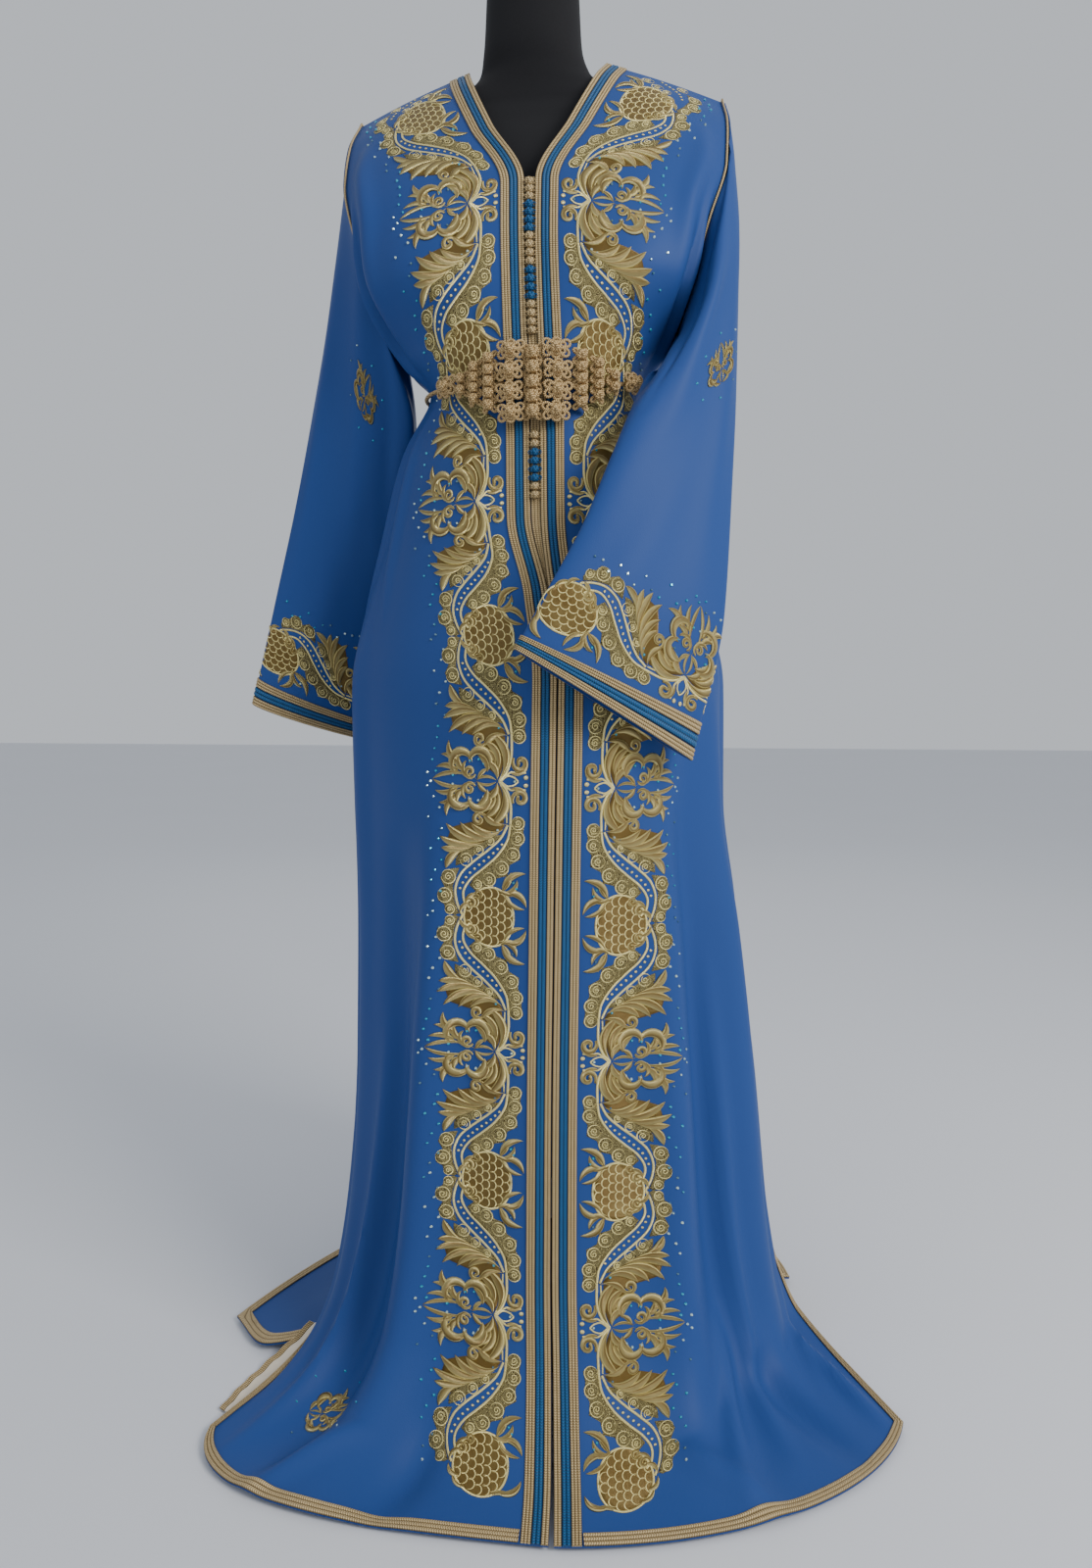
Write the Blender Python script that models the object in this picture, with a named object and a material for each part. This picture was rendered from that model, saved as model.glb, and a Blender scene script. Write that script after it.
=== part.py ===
"""Moroccan kaftan on a limbless dress form: the garment's cut pieces, its trims, its belt and the stand.

Frame: metres, +Z up, the origin on the floor under the form's pole, -Y is the front of the garment.
Left and right are the wearer's own, so the left side lies towards +X.

Each cloth panel is a patch of sections. A section is one line of its table: it runs from an inner edge
(the front opening, or the middle of the back) to an outer edge (the armhole, the side seam or the side
slit), and a smooth curve through the tables' lines gives every place between them.
"""
import math
from collections import namedtuple

import bmesh
import bpy
import numpy as np
from mathutils import Vector
from mathutils.bvhtree import BVHTree

# ---------------------------------------------------------------- driving dimensions
WALL = 0.0015            # one layer of lined crepe
NECK_LIFT = 0.0034       # space between the back panel and the braids round the back of the neck
HEM_LIFT = 0.0016        # space between a panel and the braid along its hem
SEAM = 0.0006            # space between two pieces at a seam
LIFT = 0.0008            # space between a panel and what is sewn on it
BRAID = 0.0016           # thickness of a braid
GOLD_OUTER, BLUE, GOLD_INNER = 0.0095, 0.0080, 0.0070      # widths of the three front braids
PLACKET = GOLD_OUTER + BLUE + GOLD_INNER + 2 * SEAM        # all three, side by side
HEM_BRAID = 0.0125       # width of the ribbed braid at hem and slits
CUFF_BAND = 0.0090       # width of each of the three cuff braids
PIPING = 0.0013          # radius of the armhole cord
PIPING_REACH = 0.68      # part of the way from the shoulder to the underarm that the cord shows
PIPING_STEPS = 11
SLIT_TOP = 12            # section number where the side slits start
UNDERARM = 5             # section number where the side seam starts
HEM = 18                 # section number of the hem
CUFF = 7                 # section number of a sleeve's end
SHOULDER_ROLL = 0.5      # sections over which the cloth turns over the shoulder seam
BUTTON_RADIUS = 0.0039
BUTTON_PITCH = 0.0090
BELT_CORD = 0.0024       # radius of the cord round the waist
PLAQUE_LIFT = 0.0172     # how far the middle of the plaque's knots stands off the front
FORM_SIDES = 24
POLE_RADIUS = 0.0125
BASE_RADIUS = 0.160
BASE_HEIGHT = 0.018

# ---------------------------------------------------------------- tables of sections
# Fronts. mid_x: the centre line; open: half of the space between the two front edges; in_y, in_z: the
# front edge; left_* and right_*: the outer edges; left_full and right_full: 1 for an elliptic section, 0 for
# a straight one, more than 1 for one that turns late; bow: how far its middle swells outwards.
Front = namedtuple("Front", "mid_x open in_y in_z left_x left_y left_z right_x right_y right_z "
                            "left_full right_full bow")
FRONT = [
    Front(0.000, 0.0800, 0.012, 1.492, 0.215, 0.020, 1.445, -0.215, 0.020, 1.445, 0.0, 0.0, 0.003),
    Front(0.001, 0.0690, -0.028, 1.458, 0.2195, -0.010, 1.405, -0.2195, -0.010, 1.405, 0.3, 0.3, 0.004),
    Front(0.003, 0.0420, -0.070, 1.392, 0.217, -0.038, 1.350, -0.217, -0.038, 1.350, 0.6, 0.6, 0.006),
    Front(0.007, 0.0060, -0.105, 1.315, 0.196, -0.058, 1.280, -0.198, -0.058, 1.280, 0.8, 0.8, 0.012),
    Front(0.010, 0.0055, -0.126, 1.235, 0.175, -0.052, 1.210, -0.180, -0.050, 1.210, 1.0, 1.0, 0.016),
    Front(0.013, 0.0055, -0.132, 1.155, 0.150, 0.002, 1.150, -0.152, 0.002, 1.150, 1.0, 1.0, 0.006),
    Front(0.016, 0.0055, -0.135, 1.092, 0.129, 0.000, 1.112, -0.123, 0.000, 1.112, 1.0, 1.0, 0.000),
    Front(0.017, 0.0055, -0.140, 1.030, 0.152, 0.000, 1.040, -0.152, 0.000, 1.045, 1.0, 1.0, 0.002),
    Front(0.019, 0.0055, -0.148, 0.955, 0.178, 0.000, 0.945, -0.177, 0.000, 0.945, 1.0, 1.0, 0.004),
    Front(0.036, 0.0007, -0.172, 0.870, 0.202, 0.000, 0.860, -0.199, 0.000, 0.860, 1.0, 1.0, 0.004),
    Front(0.048, 0.0007, -0.198, 0.777, 0.219, 0.000, 0.777, -0.214, 0.000, 0.777, 1.0, 1.0, 0.002),
    Front(0.047, 0.0007, -0.208, 0.640, 0.220, 0.000, 0.640, -0.209, 0.000, 0.640, 1.0, 1.0, 0.000),
    Front(0.046, 0.0007, -0.214, 0.500, 0.238, 0.000, 0.500, -0.204, 0.000, 0.500, 1.0, 1.0, 0.000),
    Front(0.045, 0.0007, -0.222, 0.340, 0.258, 0.003, 0.335, -0.205, -0.012, 0.335, 1.0, 1.0, 0.000),
    Front(0.046, 0.0008, -0.236, 0.180, 0.277, 0.006, 0.165, -0.211, -0.050, 0.170, 1.0, 1.0, 0.000),
    Front(0.050, 0.0010, -0.262, 0.085, 0.298, 0.004, 0.070, -0.222, -0.105, 0.070, 1.0, 1.1, 0.000),
    Front(0.056, 0.0012, -0.310, 0.034, 0.325, -0.032, 0.022, -0.247, -0.170, 0.024, 0.9, 1.2, 0.000),
    Front(0.061, 0.0016, -0.354, 0.014, 0.366, -0.105, 0.010, -0.276, -0.232, 0.011, 0.8, 1.35, 0.000),
    Front(0.065, 0.0024, -0.398, 0.006, 0.414, -0.198, 0.006, -0.306, -0.292, 0.006, 0.75, 1.5, 0.000),
]

# Back, one piece. mid_y, mid_z: the middle of the back; left_* and right_*: its outer edges.
Back = namedtuple("Back", "mid_y mid_z left_x left_y left_z right_x right_y right_z left_full right_full bow")
BACK = [
    Back(0.070, 1.475, 0.215, 0.0206, 1.445, -0.215, 0.0206, 1.445, 0.0, 0.0, 0.000),
    Back(0.093, 1.422, 0.216, 0.046, 1.402, -0.216, 0.046, 1.402, 0.5, 0.5, 0.003),
    Back(0.106, 1.350, 0.207, 0.068, 1.345, -0.207, 0.068, 1.345, 0.8, 0.8, 0.006),
    Back(0.108, 1.280, 0.188, 0.070, 1.280, -0.190, 0.070, 1.280, 0.9, 0.9, 0.006),
    Back(0.100, 1.212, 0.170, 0.056, 1.212, -0.173, 0.056, 1.212, 1.0, 1.0, 0.004),
    Back(0.092, 1.155, 0.150, 0.0026, 1.150, -0.152, 0.0026, 1.150, 1.0, 1.0, 0.002),
    Back(0.086, 1.112, 0.129, 0.0006, 1.112, -0.123, 0.0006, 1.112, 1.0, 1.0, 0.000),
    Back(0.102, 1.040, 0.152, 0.0006, 1.040, -0.152, 0.0006, 1.045, 1.0, 1.0, 0.002),
    Back(0.128, 0.945, 0.178, 0.0006, 0.945, -0.177, 0.0006, 0.945, 1.0, 1.0, 0.004),
    Back(0.148, 0.860, 0.202, 0.0006, 0.860, -0.199, 0.0006, 0.860, 1.0, 1.0, 0.004),
    Back(0.162, 0.777, 0.219, 0.0006, 0.777, -0.214, 0.0006, 0.777, 1.0, 1.0, 0.002),
    Back(0.175, 0.640, 0.220, 0.0006, 0.640, -0.209, 0.0006, 0.640, 1.0, 1.0, 0.000),
    Back(0.187, 0.500, 0.238, 0.0006, 0.500, -0.204, 0.0006, 0.500, 1.0, 1.0, 0.000),
    Back(0.200, 0.340, 0.251, 0.012, 0.340, -0.203, 0.002, 0.340, 1.0, 1.0, 0.000),
    Back(0.216, 0.180, 0.262, 0.022, 0.180, -0.204, -0.020, 0.180, 1.0, 1.0, 0.000),
    Back(0.236, 0.085, 0.274, 0.026, 0.085, -0.212, -0.070, 0.070, 1.0, 0.9, 0.000),
    Back(0.270, 0.034, 0.287, 0.034, 0.034, -0.238, -0.138, 0.020, 1.0, 0.7, 0.000),
    Back(0.300, 0.014, 0.304, 0.046, 0.014, -0.298, -0.160, 0.010, 0.9, 0.55, 0.000),
    Back(0.330, 0.006, 0.325, 0.060, 0.006, -0.357, -0.108, 0.006, 0.8, 0.45, 0.000),
]
NECK_STEPS = 12          # stretches of a band round the back of the neck
NECK_REACH = 85          # degrees either side of the middle of the back
NECK_SHARE = 0.38        # part of the back's first section that is neckline
NECK_POINT = (0.0800, 0.0126, 1.492)

# Folds. s0, s1: place across the panel at the fold's two ends; t0, t1: sections where it starts and
# ends; height: outwards, in metres, less than zero for a trough; width: across the panel.
Fold = namedtuple("Fold", "s0 s1 t0 t1 height width")
FOLDS = {
    "front_left": [
        Fold(0.42, 0.34, 10.8, 17.9, 0.020, 0.085), Fold(0.58, 0.50, 10.2, 17.4, -0.018, 0.080),
        Fold(0.77, 0.70, 9.8, 17.6, 0.022, 0.085), Fold(0.90, 0.86, 11.0, 17.0, -0.010, 0.060),
        Fold(0.74, 0.70, 1.4, 5.4, 0.007, 0.080),
    ],
    "front_right": [
        Fold(0.32, 0.48, 10.6, 18.2, 0.026, 0.085), Fold(0.50, 0.66, 11.0, 18.0, -0.020, 0.085),
        Fold(0.74, 0.86, 8.0, 17.2, 0.014, 0.075), Fold(0.74, 0.72, 1.4, 5.4, 0.008, 0.080),
    ],
    "back": [
        Fold(-0.86, -0.86, 7.6, 17.4, 0.012, 0.070), Fold(-0.62, -0.62, 6.4, 18.0, 0.030, 0.090),
        Fold(-0.44, -0.44, 7.0, 18.0, -0.024, 0.090), Fold(-0.253, -0.253, 6.5, 18.2, 0.028, 0.090),
        Fold(-0.06, -0.06, 7.2, 18.0, -0.022, 0.090), Fold(0.127, 0.127, 6.4, 18.2, 0.030, 0.090),
        Fold(0.31, 0.31, 7.0, 18.0, -0.022, 0.090), Fold(0.50, 0.50, 6.6, 17.8, 0.028, 0.090),
        Fold(0.68, 0.68, 7.0, 17.4, -0.018, 0.080), Fold(0.86, 0.86, 7.4, 17.2, 0.014, 0.070),
        Fold(-0.30, -0.28, 1.6, 6.0, -0.005, 0.090), Fold(0.30, 0.28, 1.6, 6.0, -0.005, 0.090),
    ],
}

# Sleeves, flattened tubes from the armhole to the cuff. out_*: the upper fold edge; in_*: the underarm
# edge; thick: across the two layers; face: the way the front layer looks, in degrees from -Y to +X.
Sleeve = namedtuple("Sleeve", "out_x out_y out_z in_x in_y in_z thick face")
SLEEVES = {
    "left": [
        Sleeve(0.216, 0.014, 1.442, 0.152, 0.002, 1.149, 0.130, 0),
        Sleeve(0.225, 0.004, 1.372, 0.159, -0.044, 1.130, 0.112, 6),
        Sleeve(0.229, -0.018, 1.290, 0.150, -0.104, 1.112, 0.084, 14),
        Sleeve(0.229, -0.044, 1.200, 0.126, -0.152, 1.072, 0.060, 20),
        Sleeve(0.228, -0.076, 1.090, 0.102, -0.188, 1.008, 0.046, 22),
        Sleeve(0.224, -0.114, 0.980, 0.074, -0.216, 0.934, 0.038, 20),
        Sleeve(0.217, -0.152, 0.850, 0.040, -0.240, 0.866, 0.032, 18),
        Sleeve(0.184, -0.178, 0.700, 0.012, -0.252, 0.812, 0.030, 16),
    ],
    "right": [
        Sleeve(-0.216, 0.014, 1.442, -0.152, 0.002, 1.149, 0.130, 0),
        Sleeve(-0.232, 0.018, 1.372, -0.150, 0.008, 1.112, 0.112, 0),
        Sleeve(-0.246, 0.020, 1.295, -0.151, 0.012, 1.066, 0.088, -2),
        Sleeve(-0.262, 0.020, 1.205, -0.161, 0.020, 1.014, 0.066, -6),
        Sleeve(-0.282, 0.020, 1.110, -0.176, 0.034, 0.952, 0.050, -12),
        Sleeve(-0.306, 0.018, 1.000, -0.192, 0.054, 0.878, 0.040, -18),
        Sleeve(-0.334, 0.012, 0.880, -0.204, 0.074, 0.790, 0.034, -24),
        Sleeve(-0.361, 0.000, 0.754, -0.214, 0.090, 0.702, 0.032, -28),
    ],
}

# The form's torso and neck: its middle, half_width, then how far it reaches to the front and the back.
Torso = namedtuple("Torso", "z mid_x half_width front back")
TORSO = [
    Torso(0.800, 0.003, 0.128, 0.098, 0.088), Torso(0.806, 0.003, 0.140, 0.110, 0.098),
    Torso(0.860, 0.003, 0.152, 0.120, 0.108), Torso(0.930, 0.003, 0.150, 0.122, 0.104),
    Torso(1.020, 0.003, 0.131, 0.118, 0.084), Torso(1.105, 0.003, 0.114, 0.114, 0.074),
    Torso(1.170, 0.003, 0.126, 0.112, 0.078), Torso(1.245, 0.003, 0.146, 0.112, 0.086),
    Torso(1.315, 0.003, 0.164, 0.088, 0.090), Torso(1.380, 0.003, 0.180, 0.060, 0.082),
    Torso(1.418, 0.001, 0.172, 0.042, 0.070), Torso(1.440, 0.001, 0.138, 0.035, 0.060),
    Torso(1.456, -0.002, 0.094, 0.034, 0.055), Torso(1.476, -0.002, 0.065, 0.036, 0.052),
    Torso(1.505, -0.004, 0.057, 0.042, 0.050), Torso(1.570, -0.004, 0.053, 0.044, 0.048),
]

# Buttons: one line for each run of one colour, from the top; t is the place along the front edge.
Run = namedtuple("Run", "name colour top count")
BUTTON_RUNS = [
    Run("buttons_1", "gold", 1.312, 3), Run("buttons_2", "blue", 1.285, 4), Run("buttons_3", "gold", 1.249, 4),
    Run("buttons_4", "blue", 1.213, 4), Run("buttons_5", "gold", 1.177, 4),
    Run("buttons_6", "gold", 1.041, 2), Run("buttons_7", "blue", 1.023, 4), Run("buttons_8", "gold", 0.987, 2),
]

# Belt plaque: across is measured from its middle, up from the waist line.
Knot = namedtuple("Knot", "name across up radius")
KNOTS = [
    Knot("knot_left_1", 0.0210, 0.0318, 0.0103), Knot("knot_left_2", 0.0225, 0.0106, 0.0103),
    Knot("knot_left_3", 0.0225, -0.0106, 0.0103), Knot("knot_left_4", 0.0210, -0.0318, 0.0103),
    Knot("knot_right_1", -0.0210, 0.0318, 0.0103), Knot("knot_right_2", -0.0225, 0.0106, 0.0103),
    Knot("knot_right_3", -0.0225, -0.0106, 0.0103), Knot("knot_right_4", -0.0210, -0.0318, 0.0103),
    Knot("knot_end_left", 0.0900, 0.0020, 0.0112), Knot("knot_end_right", -0.0900, 0.0000, 0.0112),
]
Beads = namedtuple("Beads", "name across height count radius")
BEAD_COLUMNS = [
    Beads("beads_middle", 0.000, 0.074, 5, 0.0068),
    Beads("beads_left_1", 0.043, 0.060, 5, 0.0058), Beads("beads_left_2", 0.058, 0.044, 4, 0.0056),
    Beads("beads_left_3", 0.072, 0.024, 2, 0.0056),
    Beads("beads_right_1", -0.043, 0.060, 5, 0.0058), Beads("beads_right_2", -0.058, 0.044, 4, 0.0056),
    Beads("beads_right_3", -0.072, 0.024, 2, 0.0056),
]

COLOURS = {
    "cloth": (0.030, 0.125, 0.380, 0.55, 0.0), "gold": (0.42, 0.30, 0.13, 0.50, 0.35),
    "blue": (0.004, 0.075, 0.250, 0.50, 0.0), "belt": (0.42, 0.27, 0.12, 0.55, 0.15),
    "lining": (0.72, 0.62, 0.48, 0.35, 0.0), "form": (0.010, 0.010, 0.012, 0.80, 0.0),
    "stand": (0.020, 0.020, 0.022, 0.35, 0.6),
}


# ---------------------------------------------------------------- smooth curves through the tables
def slope(before, after):
    """The slope where two stretches meet: none at a turning point, so that the curve never overshoots."""
    same_way = before * after > 0
    total = np.where(same_way, before + after, 1.0)
    return np.where(same_way, 2 * before * after / total, 0.0)


def smooth(rows, t):
    """The table's line at place t, on a smooth curve through its lines."""
    last = len(rows) - 1
    t = min(max(t, 0.0), float(last))
    i = min(int(t), last - 1)
    f = t - i
    start, end = np.array(rows[i], float), np.array(rows[i + 1], float)
    step = end - start
    before = start - np.array(rows[i - 1], float) if i > 0 else step
    after = np.array(rows[i + 2], float) - end if i + 2 <= last else step
    m0, m1 = slope(before, step), slope(step, after)
    out = (start + f * m0 + f ** 2 * (3 * step - 2 * m0 - m1) + f ** 3 * (m0 + m1 - 2 * step))
    return type(rows[0])(*out)


def unit(v):
    return v / max(np.linalg.norm(v), 1e-12)


def across(inner, outer, share, full, bow):
    """A section's point: from the inner edge (share 0) to the outer edge (share 1)."""
    angle = 0.5 * math.pi * share
    curved = min(full, 1.0)
    run = curved * math.sin(angle) + (1 - curved) * share
    turn = curved * max(1 - math.cos(angle), 0.0) ** max(full, 1.0) + (1 - curved) * share
    x = inner[0] + (outer[0] - inner[0]) * run
    y = inner[1] + (outer[1] - inner[1]) * turn
    z = inner[2] + (outer[2] - inner[2]) * share
    swell = bow * math.sin(math.pi * min(share, 1.0))
    way = -1.0 if inner[1] < outer[1] or bow < 0 else 1.0
    return np.array([x + 0.5 * swell * math.copysign(1.0, outer[0]), y + way * abs(swell), z])


def fold_height(panel, s, t):
    total = 0.0
    for fold in FOLDS.get(panel, []):
        if fold.t0 < t < fold.t1:
            f = (t - fold.t0) / (fold.t1 - fold.t0)
            rise = math.sin(math.pi * f ** 0.8) ** 1.2
            middle = fold.s0 + (fold.s1 - fold.s0) * f
            total += fold.height * rise * math.exp(-((s - middle) / fold.width) ** 2)
    return total


def bare_front(side, s, t):
    row = smooth(FRONT, t)
    way = 1.0 if side == "left" else -1.0
    inner = (row.mid_x + way * row.open, row.in_y, row.in_z)
    if side == "left":
        return across(inner, (row.left_x, row.left_y, row.left_z), s, row.left_full, row.bow)
    return across(inner, (row.right_x, row.right_y, row.right_z), s, row.right_full, row.bow)


def bare_back(s, t):
    row = smooth(BACK, t)
    share = abs(s)
    inner = (0.0, row.mid_y, row.mid_z)
    if s >= 0:
        point = across(inner, (row.left_x, row.left_y, row.left_z), share, row.left_full, row.bow)
    else:
        point = across(inner, (row.right_x, row.right_y, row.right_z), share, row.right_full, row.bow)
    if t < 1.0:
        # the first section follows the neckline, then the shoulder seam; it fades into the next one
        way = 1.0 if s >= 0 else -1.0
        if share < NECK_SHARE:
            a = 0.5 * math.pi * share / NECK_SHARE
            seam = np.array([way * NECK_POINT[0] * math.sin(a),
                             NECK_POINT[1] + (BACK[0].mid_y - NECK_POINT[1]) * math.cos(a),
                             BACK[0].mid_z + (NECK_POINT[2] - BACK[0].mid_z) * (1 - math.cos(a))])
        else:
            f = (share - NECK_SHARE) / (1 - NECK_SHARE)
            tip = np.array([way * BACK[0].left_x, BACK[0].left_y, BACK[0].left_z])
            start = np.array([way * NECK_POINT[0], NECK_POINT[1], NECK_POINT[2]])
            seam = start + (tip - start) * f
        point = seam + (point - seam) * (1 - (1 - t) ** 1.6) if t > 0 else seam
    return point


def bare(panel, s, t):
    if panel == "back":
        return bare_back(s, t)
    return bare_front("left" if panel == "front_left" else "right", s, t)


def outward(panel, s, t):
    """The panel's outward direction, from two short steps along it."""
    step = 0.004
    low = -1.0 if panel == "back" else 0.0
    du = bare(panel, min(s + step, 1.0), t) - bare(panel, max(s - step, low), t)
    dt = bare(panel, s, min(t + 0.05, HEM)) - bare(panel, s, max(t - 0.05, 0.0))
    n = unit(np.cross(du, dt))
    if panel == "front_left":
        n = -n
    if t < SHOULDER_ROLL:
        # both panels face the same way along the shoulder seam, so their cut edges stay apart
        share = (1 - t / SHOULDER_ROLL) ** 2
        n = unit(n * (1 - share) + np.array([math.copysign(0.33, n[0]) if abs(s) > 0.3 else 0.0, 0.0, 0.94]) * share)
    return n


def on_panel(panel, s, t, lift=0.0):
    n = outward(panel, s, t)
    return bare(panel, s, t) + n * (fold_height(panel, s, t) + lift)


def share_at(panel, t, distance):
    """How far across a section is, that many metres from its inner edge (or, below zero, its outer one)."""
    if distance >= 0:
        rate = np.linalg.norm(bare(panel, 0.02, t) - bare(panel, 0.0, t)) / 0.02
        return distance / rate
    rate = np.linalg.norm(bare(panel, 1.0, t) - bare(panel, 0.98, t)) / 0.02
    return 1.0 + distance / rate


# ---------------------------------------------------------------- mesh helpers
def material(name, colour):
    mat = bpy.data.materials.new(name)
    mat.use_nodes = True
    shader = mat.node_tree.nodes["Principled BSDF"]
    red, green, blue, rough, metal = COLOURS[colour]
    shader.inputs["Base Color"].default_value = (red, green, blue, 1.0)
    shader.inputs["Roughness"].default_value = rough
    shader.inputs["Metallic"].default_value = metal
    mat.diffuse_color = (red, green, blue, 1.0)
    return mat


def add_object(name, verts, faces, colour, soft=True):
    """One named, closed piece with its own material; its faces are made to point outwards."""
    mesh = bpy.data.meshes.new(name)
    mesh.from_pydata([tuple(v) for v in verts], [], faces)
    work = bmesh.new()
    work.from_mesh(mesh)
    bmesh.ops.remove_doubles(work, verts=work.verts, dist=1e-6)
    bmesh.ops.recalc_face_normals(work, faces=work.faces)
    work.to_mesh(mesh)
    work.free()
    obj = bpy.data.objects.new(name, mesh)
    bpy.context.collection.objects.link(obj)
    mesh.materials.append(material(name, colour))
    if soft:
        mesh.shade_smooth()
        mesh.set_sharp_from_angle(angle=math.radians(40))
    return obj


def shell(name, outer, inner, colour, wrap=False):
    """A wall between two grids of points: rows by columns, wrap joins the last column to the first."""
    rows, cols = len(outer), len(outer[0])
    verts = [p for row in outer for p in row] + [p for row in inner for p in row]
    far = rows * cols
    faces = []

    def at(r, c):
        return r * cols + c % cols

    steps = cols if wrap else cols - 1
    for r in range(rows - 1):
        for c in range(steps):
            a, b, d, e = at(r, c), at(r, c + 1), at(r + 1, c + 1), at(r + 1, c)
            faces += [(a, b, d), (a, d, e), (far + a, far + d, far + b), (far + a, far + e, far + d)]
    for c in range(steps):
        for r, flip in ((0, True), (rows - 1, False)):
            a, b = at(r, c), at(r, c + 1)
            quad = (b, a, far + a, far + b) if flip else (a, b, far + b, far + a)
            faces.append(quad)
    if not wrap:
        for r in range(rows - 1):
            for c, flip in ((0, False), (cols - 1, True)):
                a, b = at(r, c), at(r + 1, c)
                quad = (b, a, far + a, far + b) if flip else (a, b, far + b, far + a)
                faces.append(quad)
    return add_object(name, verts, faces, colour)


def frames(points, closed=False):
    """A direction and two side vectors at each point of a path, turning as little as they can."""
    count = len(points)
    ways = []
    for i in range(count):
        before = points[i - 1] if closed or i > 0 else points[i]
        after = points[(i + 1) % count] if closed or i < count - 1 else points[i]
        ways.append(unit(after - before))
    side = unit(np.cross(ways[0], (0.0, 0.0, 1.0) if abs(ways[0][2]) < 0.9 else (0.0, 1.0, 0.0)))
    result = []
    for way in ways:
        side = unit(side - way * side.dot(way))
        result.append((way, side, np.cross(way, side)))
    return result


def tube(name, points, radii, sides, colour, closed=False):
    points = [np.array(p, float) for p in points]
    rings = []
    for point, radius, (_, u, v) in zip(points, radii, frames(points, closed)):
        rings.append([point + radius * (math.cos(a) * u + math.sin(a) * v)
                      for a in (2 * math.pi * k / sides for k in range(sides))])
    count = len(rings)
    verts = [p for ring in rings for p in ring]
    faces = []
    for i in range(count if closed else count - 1):
        j = (i + 1) % count
        for k in range(sides):
            m = (k + 1) % sides
            faces.append((i * sides + k, i * sides + m, j * sides + m, j * sides + k))
    if not closed:
        faces.append(tuple(reversed(range(sides))))
        faces.append(tuple((count - 1) * sides + k for k in range(sides)))
    return add_object(name, verts, faces, colour)


def surface_tree(obj):
    work = bmesh.new()
    work.from_mesh(obj.data)
    tree = BVHTree.FromBMesh(work)
    work.free()
    return tree


# ---------------------------------------------------------------- cloth panels
FRONT_SHARES = [0.18, 0.30, 0.42, 0.54, 0.66, 0.77, 0.87]
FRONT_ROWS = [0, 0.5, 1, 1.5, 2, 2.6, 3, 4, 4.6, 5, 5.5, 6, 6.5, 7, 8, 9, 10, 11, 12, 13, 14,
              15, 16, 17, 17.66, HEM]
BACK_ROWS = [0, 0.25, 0.5, 1, 2, 3, 4, 5, 5.5, 6, 6.5, 7, 8, 9, 10, 11, 12, 13, 14, 15, 16, 17, 17.64, HEM]
HEM_ROW = {"front_left": 17.66, "front_right": 17.66, "back": 17.64}      # the row of points above the hem
SLIT_ROWS = [17, 16, 15, 14, 13, SLIT_TOP + 0.05]
BACK_SHARES = [0.0, 0.127, 0.253, NECK_SHARE, 0.50, 0.62, 0.74, 0.86]


def front_columns(panel, t):
    return ([0.0, share_at(panel, t, PLACKET)] + FRONT_SHARES + [share_at(panel, t, -HEM_BRAID), 1.0])


def front_panel(panel):
    outer = [[on_panel(panel, s, t) for s in front_columns(panel, t)] for t in FRONT_ROWS]
    inner = [[on_panel(panel, s, t, -WALL) for s in front_columns(panel, t)] for t in FRONT_ROWS]
    return shell(panel, outer, inner, "cloth")


def back_columns(t):
    half = BACK_SHARES[1:] + [0.955, 1.0]
    return [-s for s in reversed(half)] + [0.0] + half


def back_panel():
    outer = [[on_panel("back", s, t) for s in back_columns(t)] for t in BACK_ROWS]
    inner = [[on_panel("back", s, t, -WALL) for s in back_columns(t)] for t in BACK_ROWS]
    return shell("back", outer, inner, "cloth")


# ---------------------------------------------------------------- sleeves
SLEEVE_SIDES = 20
SLEEVE_ROWS = [0.0, 0.3, 0.7, 1.1, 1.6, 2.2, 3, 4, 5, 6]


def armhole(side, turn, gap=0.0):
    """The armhole's edge: turn 0 at the shoulder, 0.5 at the underarm, front first, gap metres outside."""
    panel = "front_left" if side == "left" else "front_right"
    way = 1.0 if side == "left" else -1.0
    if turn <= 0.5:
        point = bare(panel, 1.0, UNDERARM * turn / 0.5)
    else:
        point = bare("back", way, UNDERARM * (1 - turn) / 0.5)
    return point + np.array([way * gap, 0.0, 0.0])


def bare_sleeve(side, turn, t):
    rows = SLEEVES[side]
    row = smooth(rows, t)
    out = np.array([row.out_x, row.out_y, row.out_z])
    under = np.array([row.in_x, row.in_y, row.in_z])
    middle, half = (out + under) / 2, (out - under) / 2
    face = math.radians(row.face)
    look = np.array([math.sin(face), -math.cos(face), 0.0])
    look = unit(look - unit(half) * look.dot(unit(half)))
    angle = 2 * math.pi * turn
    reach, rise = math.cos(angle), math.sin(angle)
    point = middle + half * reach + look * (row.thick / 2) * rise
    join = max(0.0, 1.0 - t / 1.6) ** 1.5
    if join > 0:
        start = smooth(rows, 0.0)
        o0, u0 = np.array(start[:3]), np.array(start[3:6])
        ring = (o0 + u0) / 2 + (o0 - u0) / 2 * reach + np.array([0, -1.0, 0]) * (start.thick / 2) * rise
        point = point + (armhole(side, turn % 1.0, 0.0022) - ring) * join
    return point


def sleeve_point(side, turn, t, lift=0.0):
    """A point of the sleeve, moved outwards by lift, square to two short steps along the cloth."""
    point = bare_sleeve(side, turn, t)
    if lift:
        around = bare_sleeve(side, turn + 0.012, t) - bare_sleeve(side, turn - 0.012, t)
        down = bare_sleeve(side, turn, min(t + 0.06, CUFF)) - bare_sleeve(side, turn, max(t - 0.06, 0.0))
        way = 1.0 if side == "left" else -1.0
        point = point + unit(np.cross(around, down)) * way * lift
    return point


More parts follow.
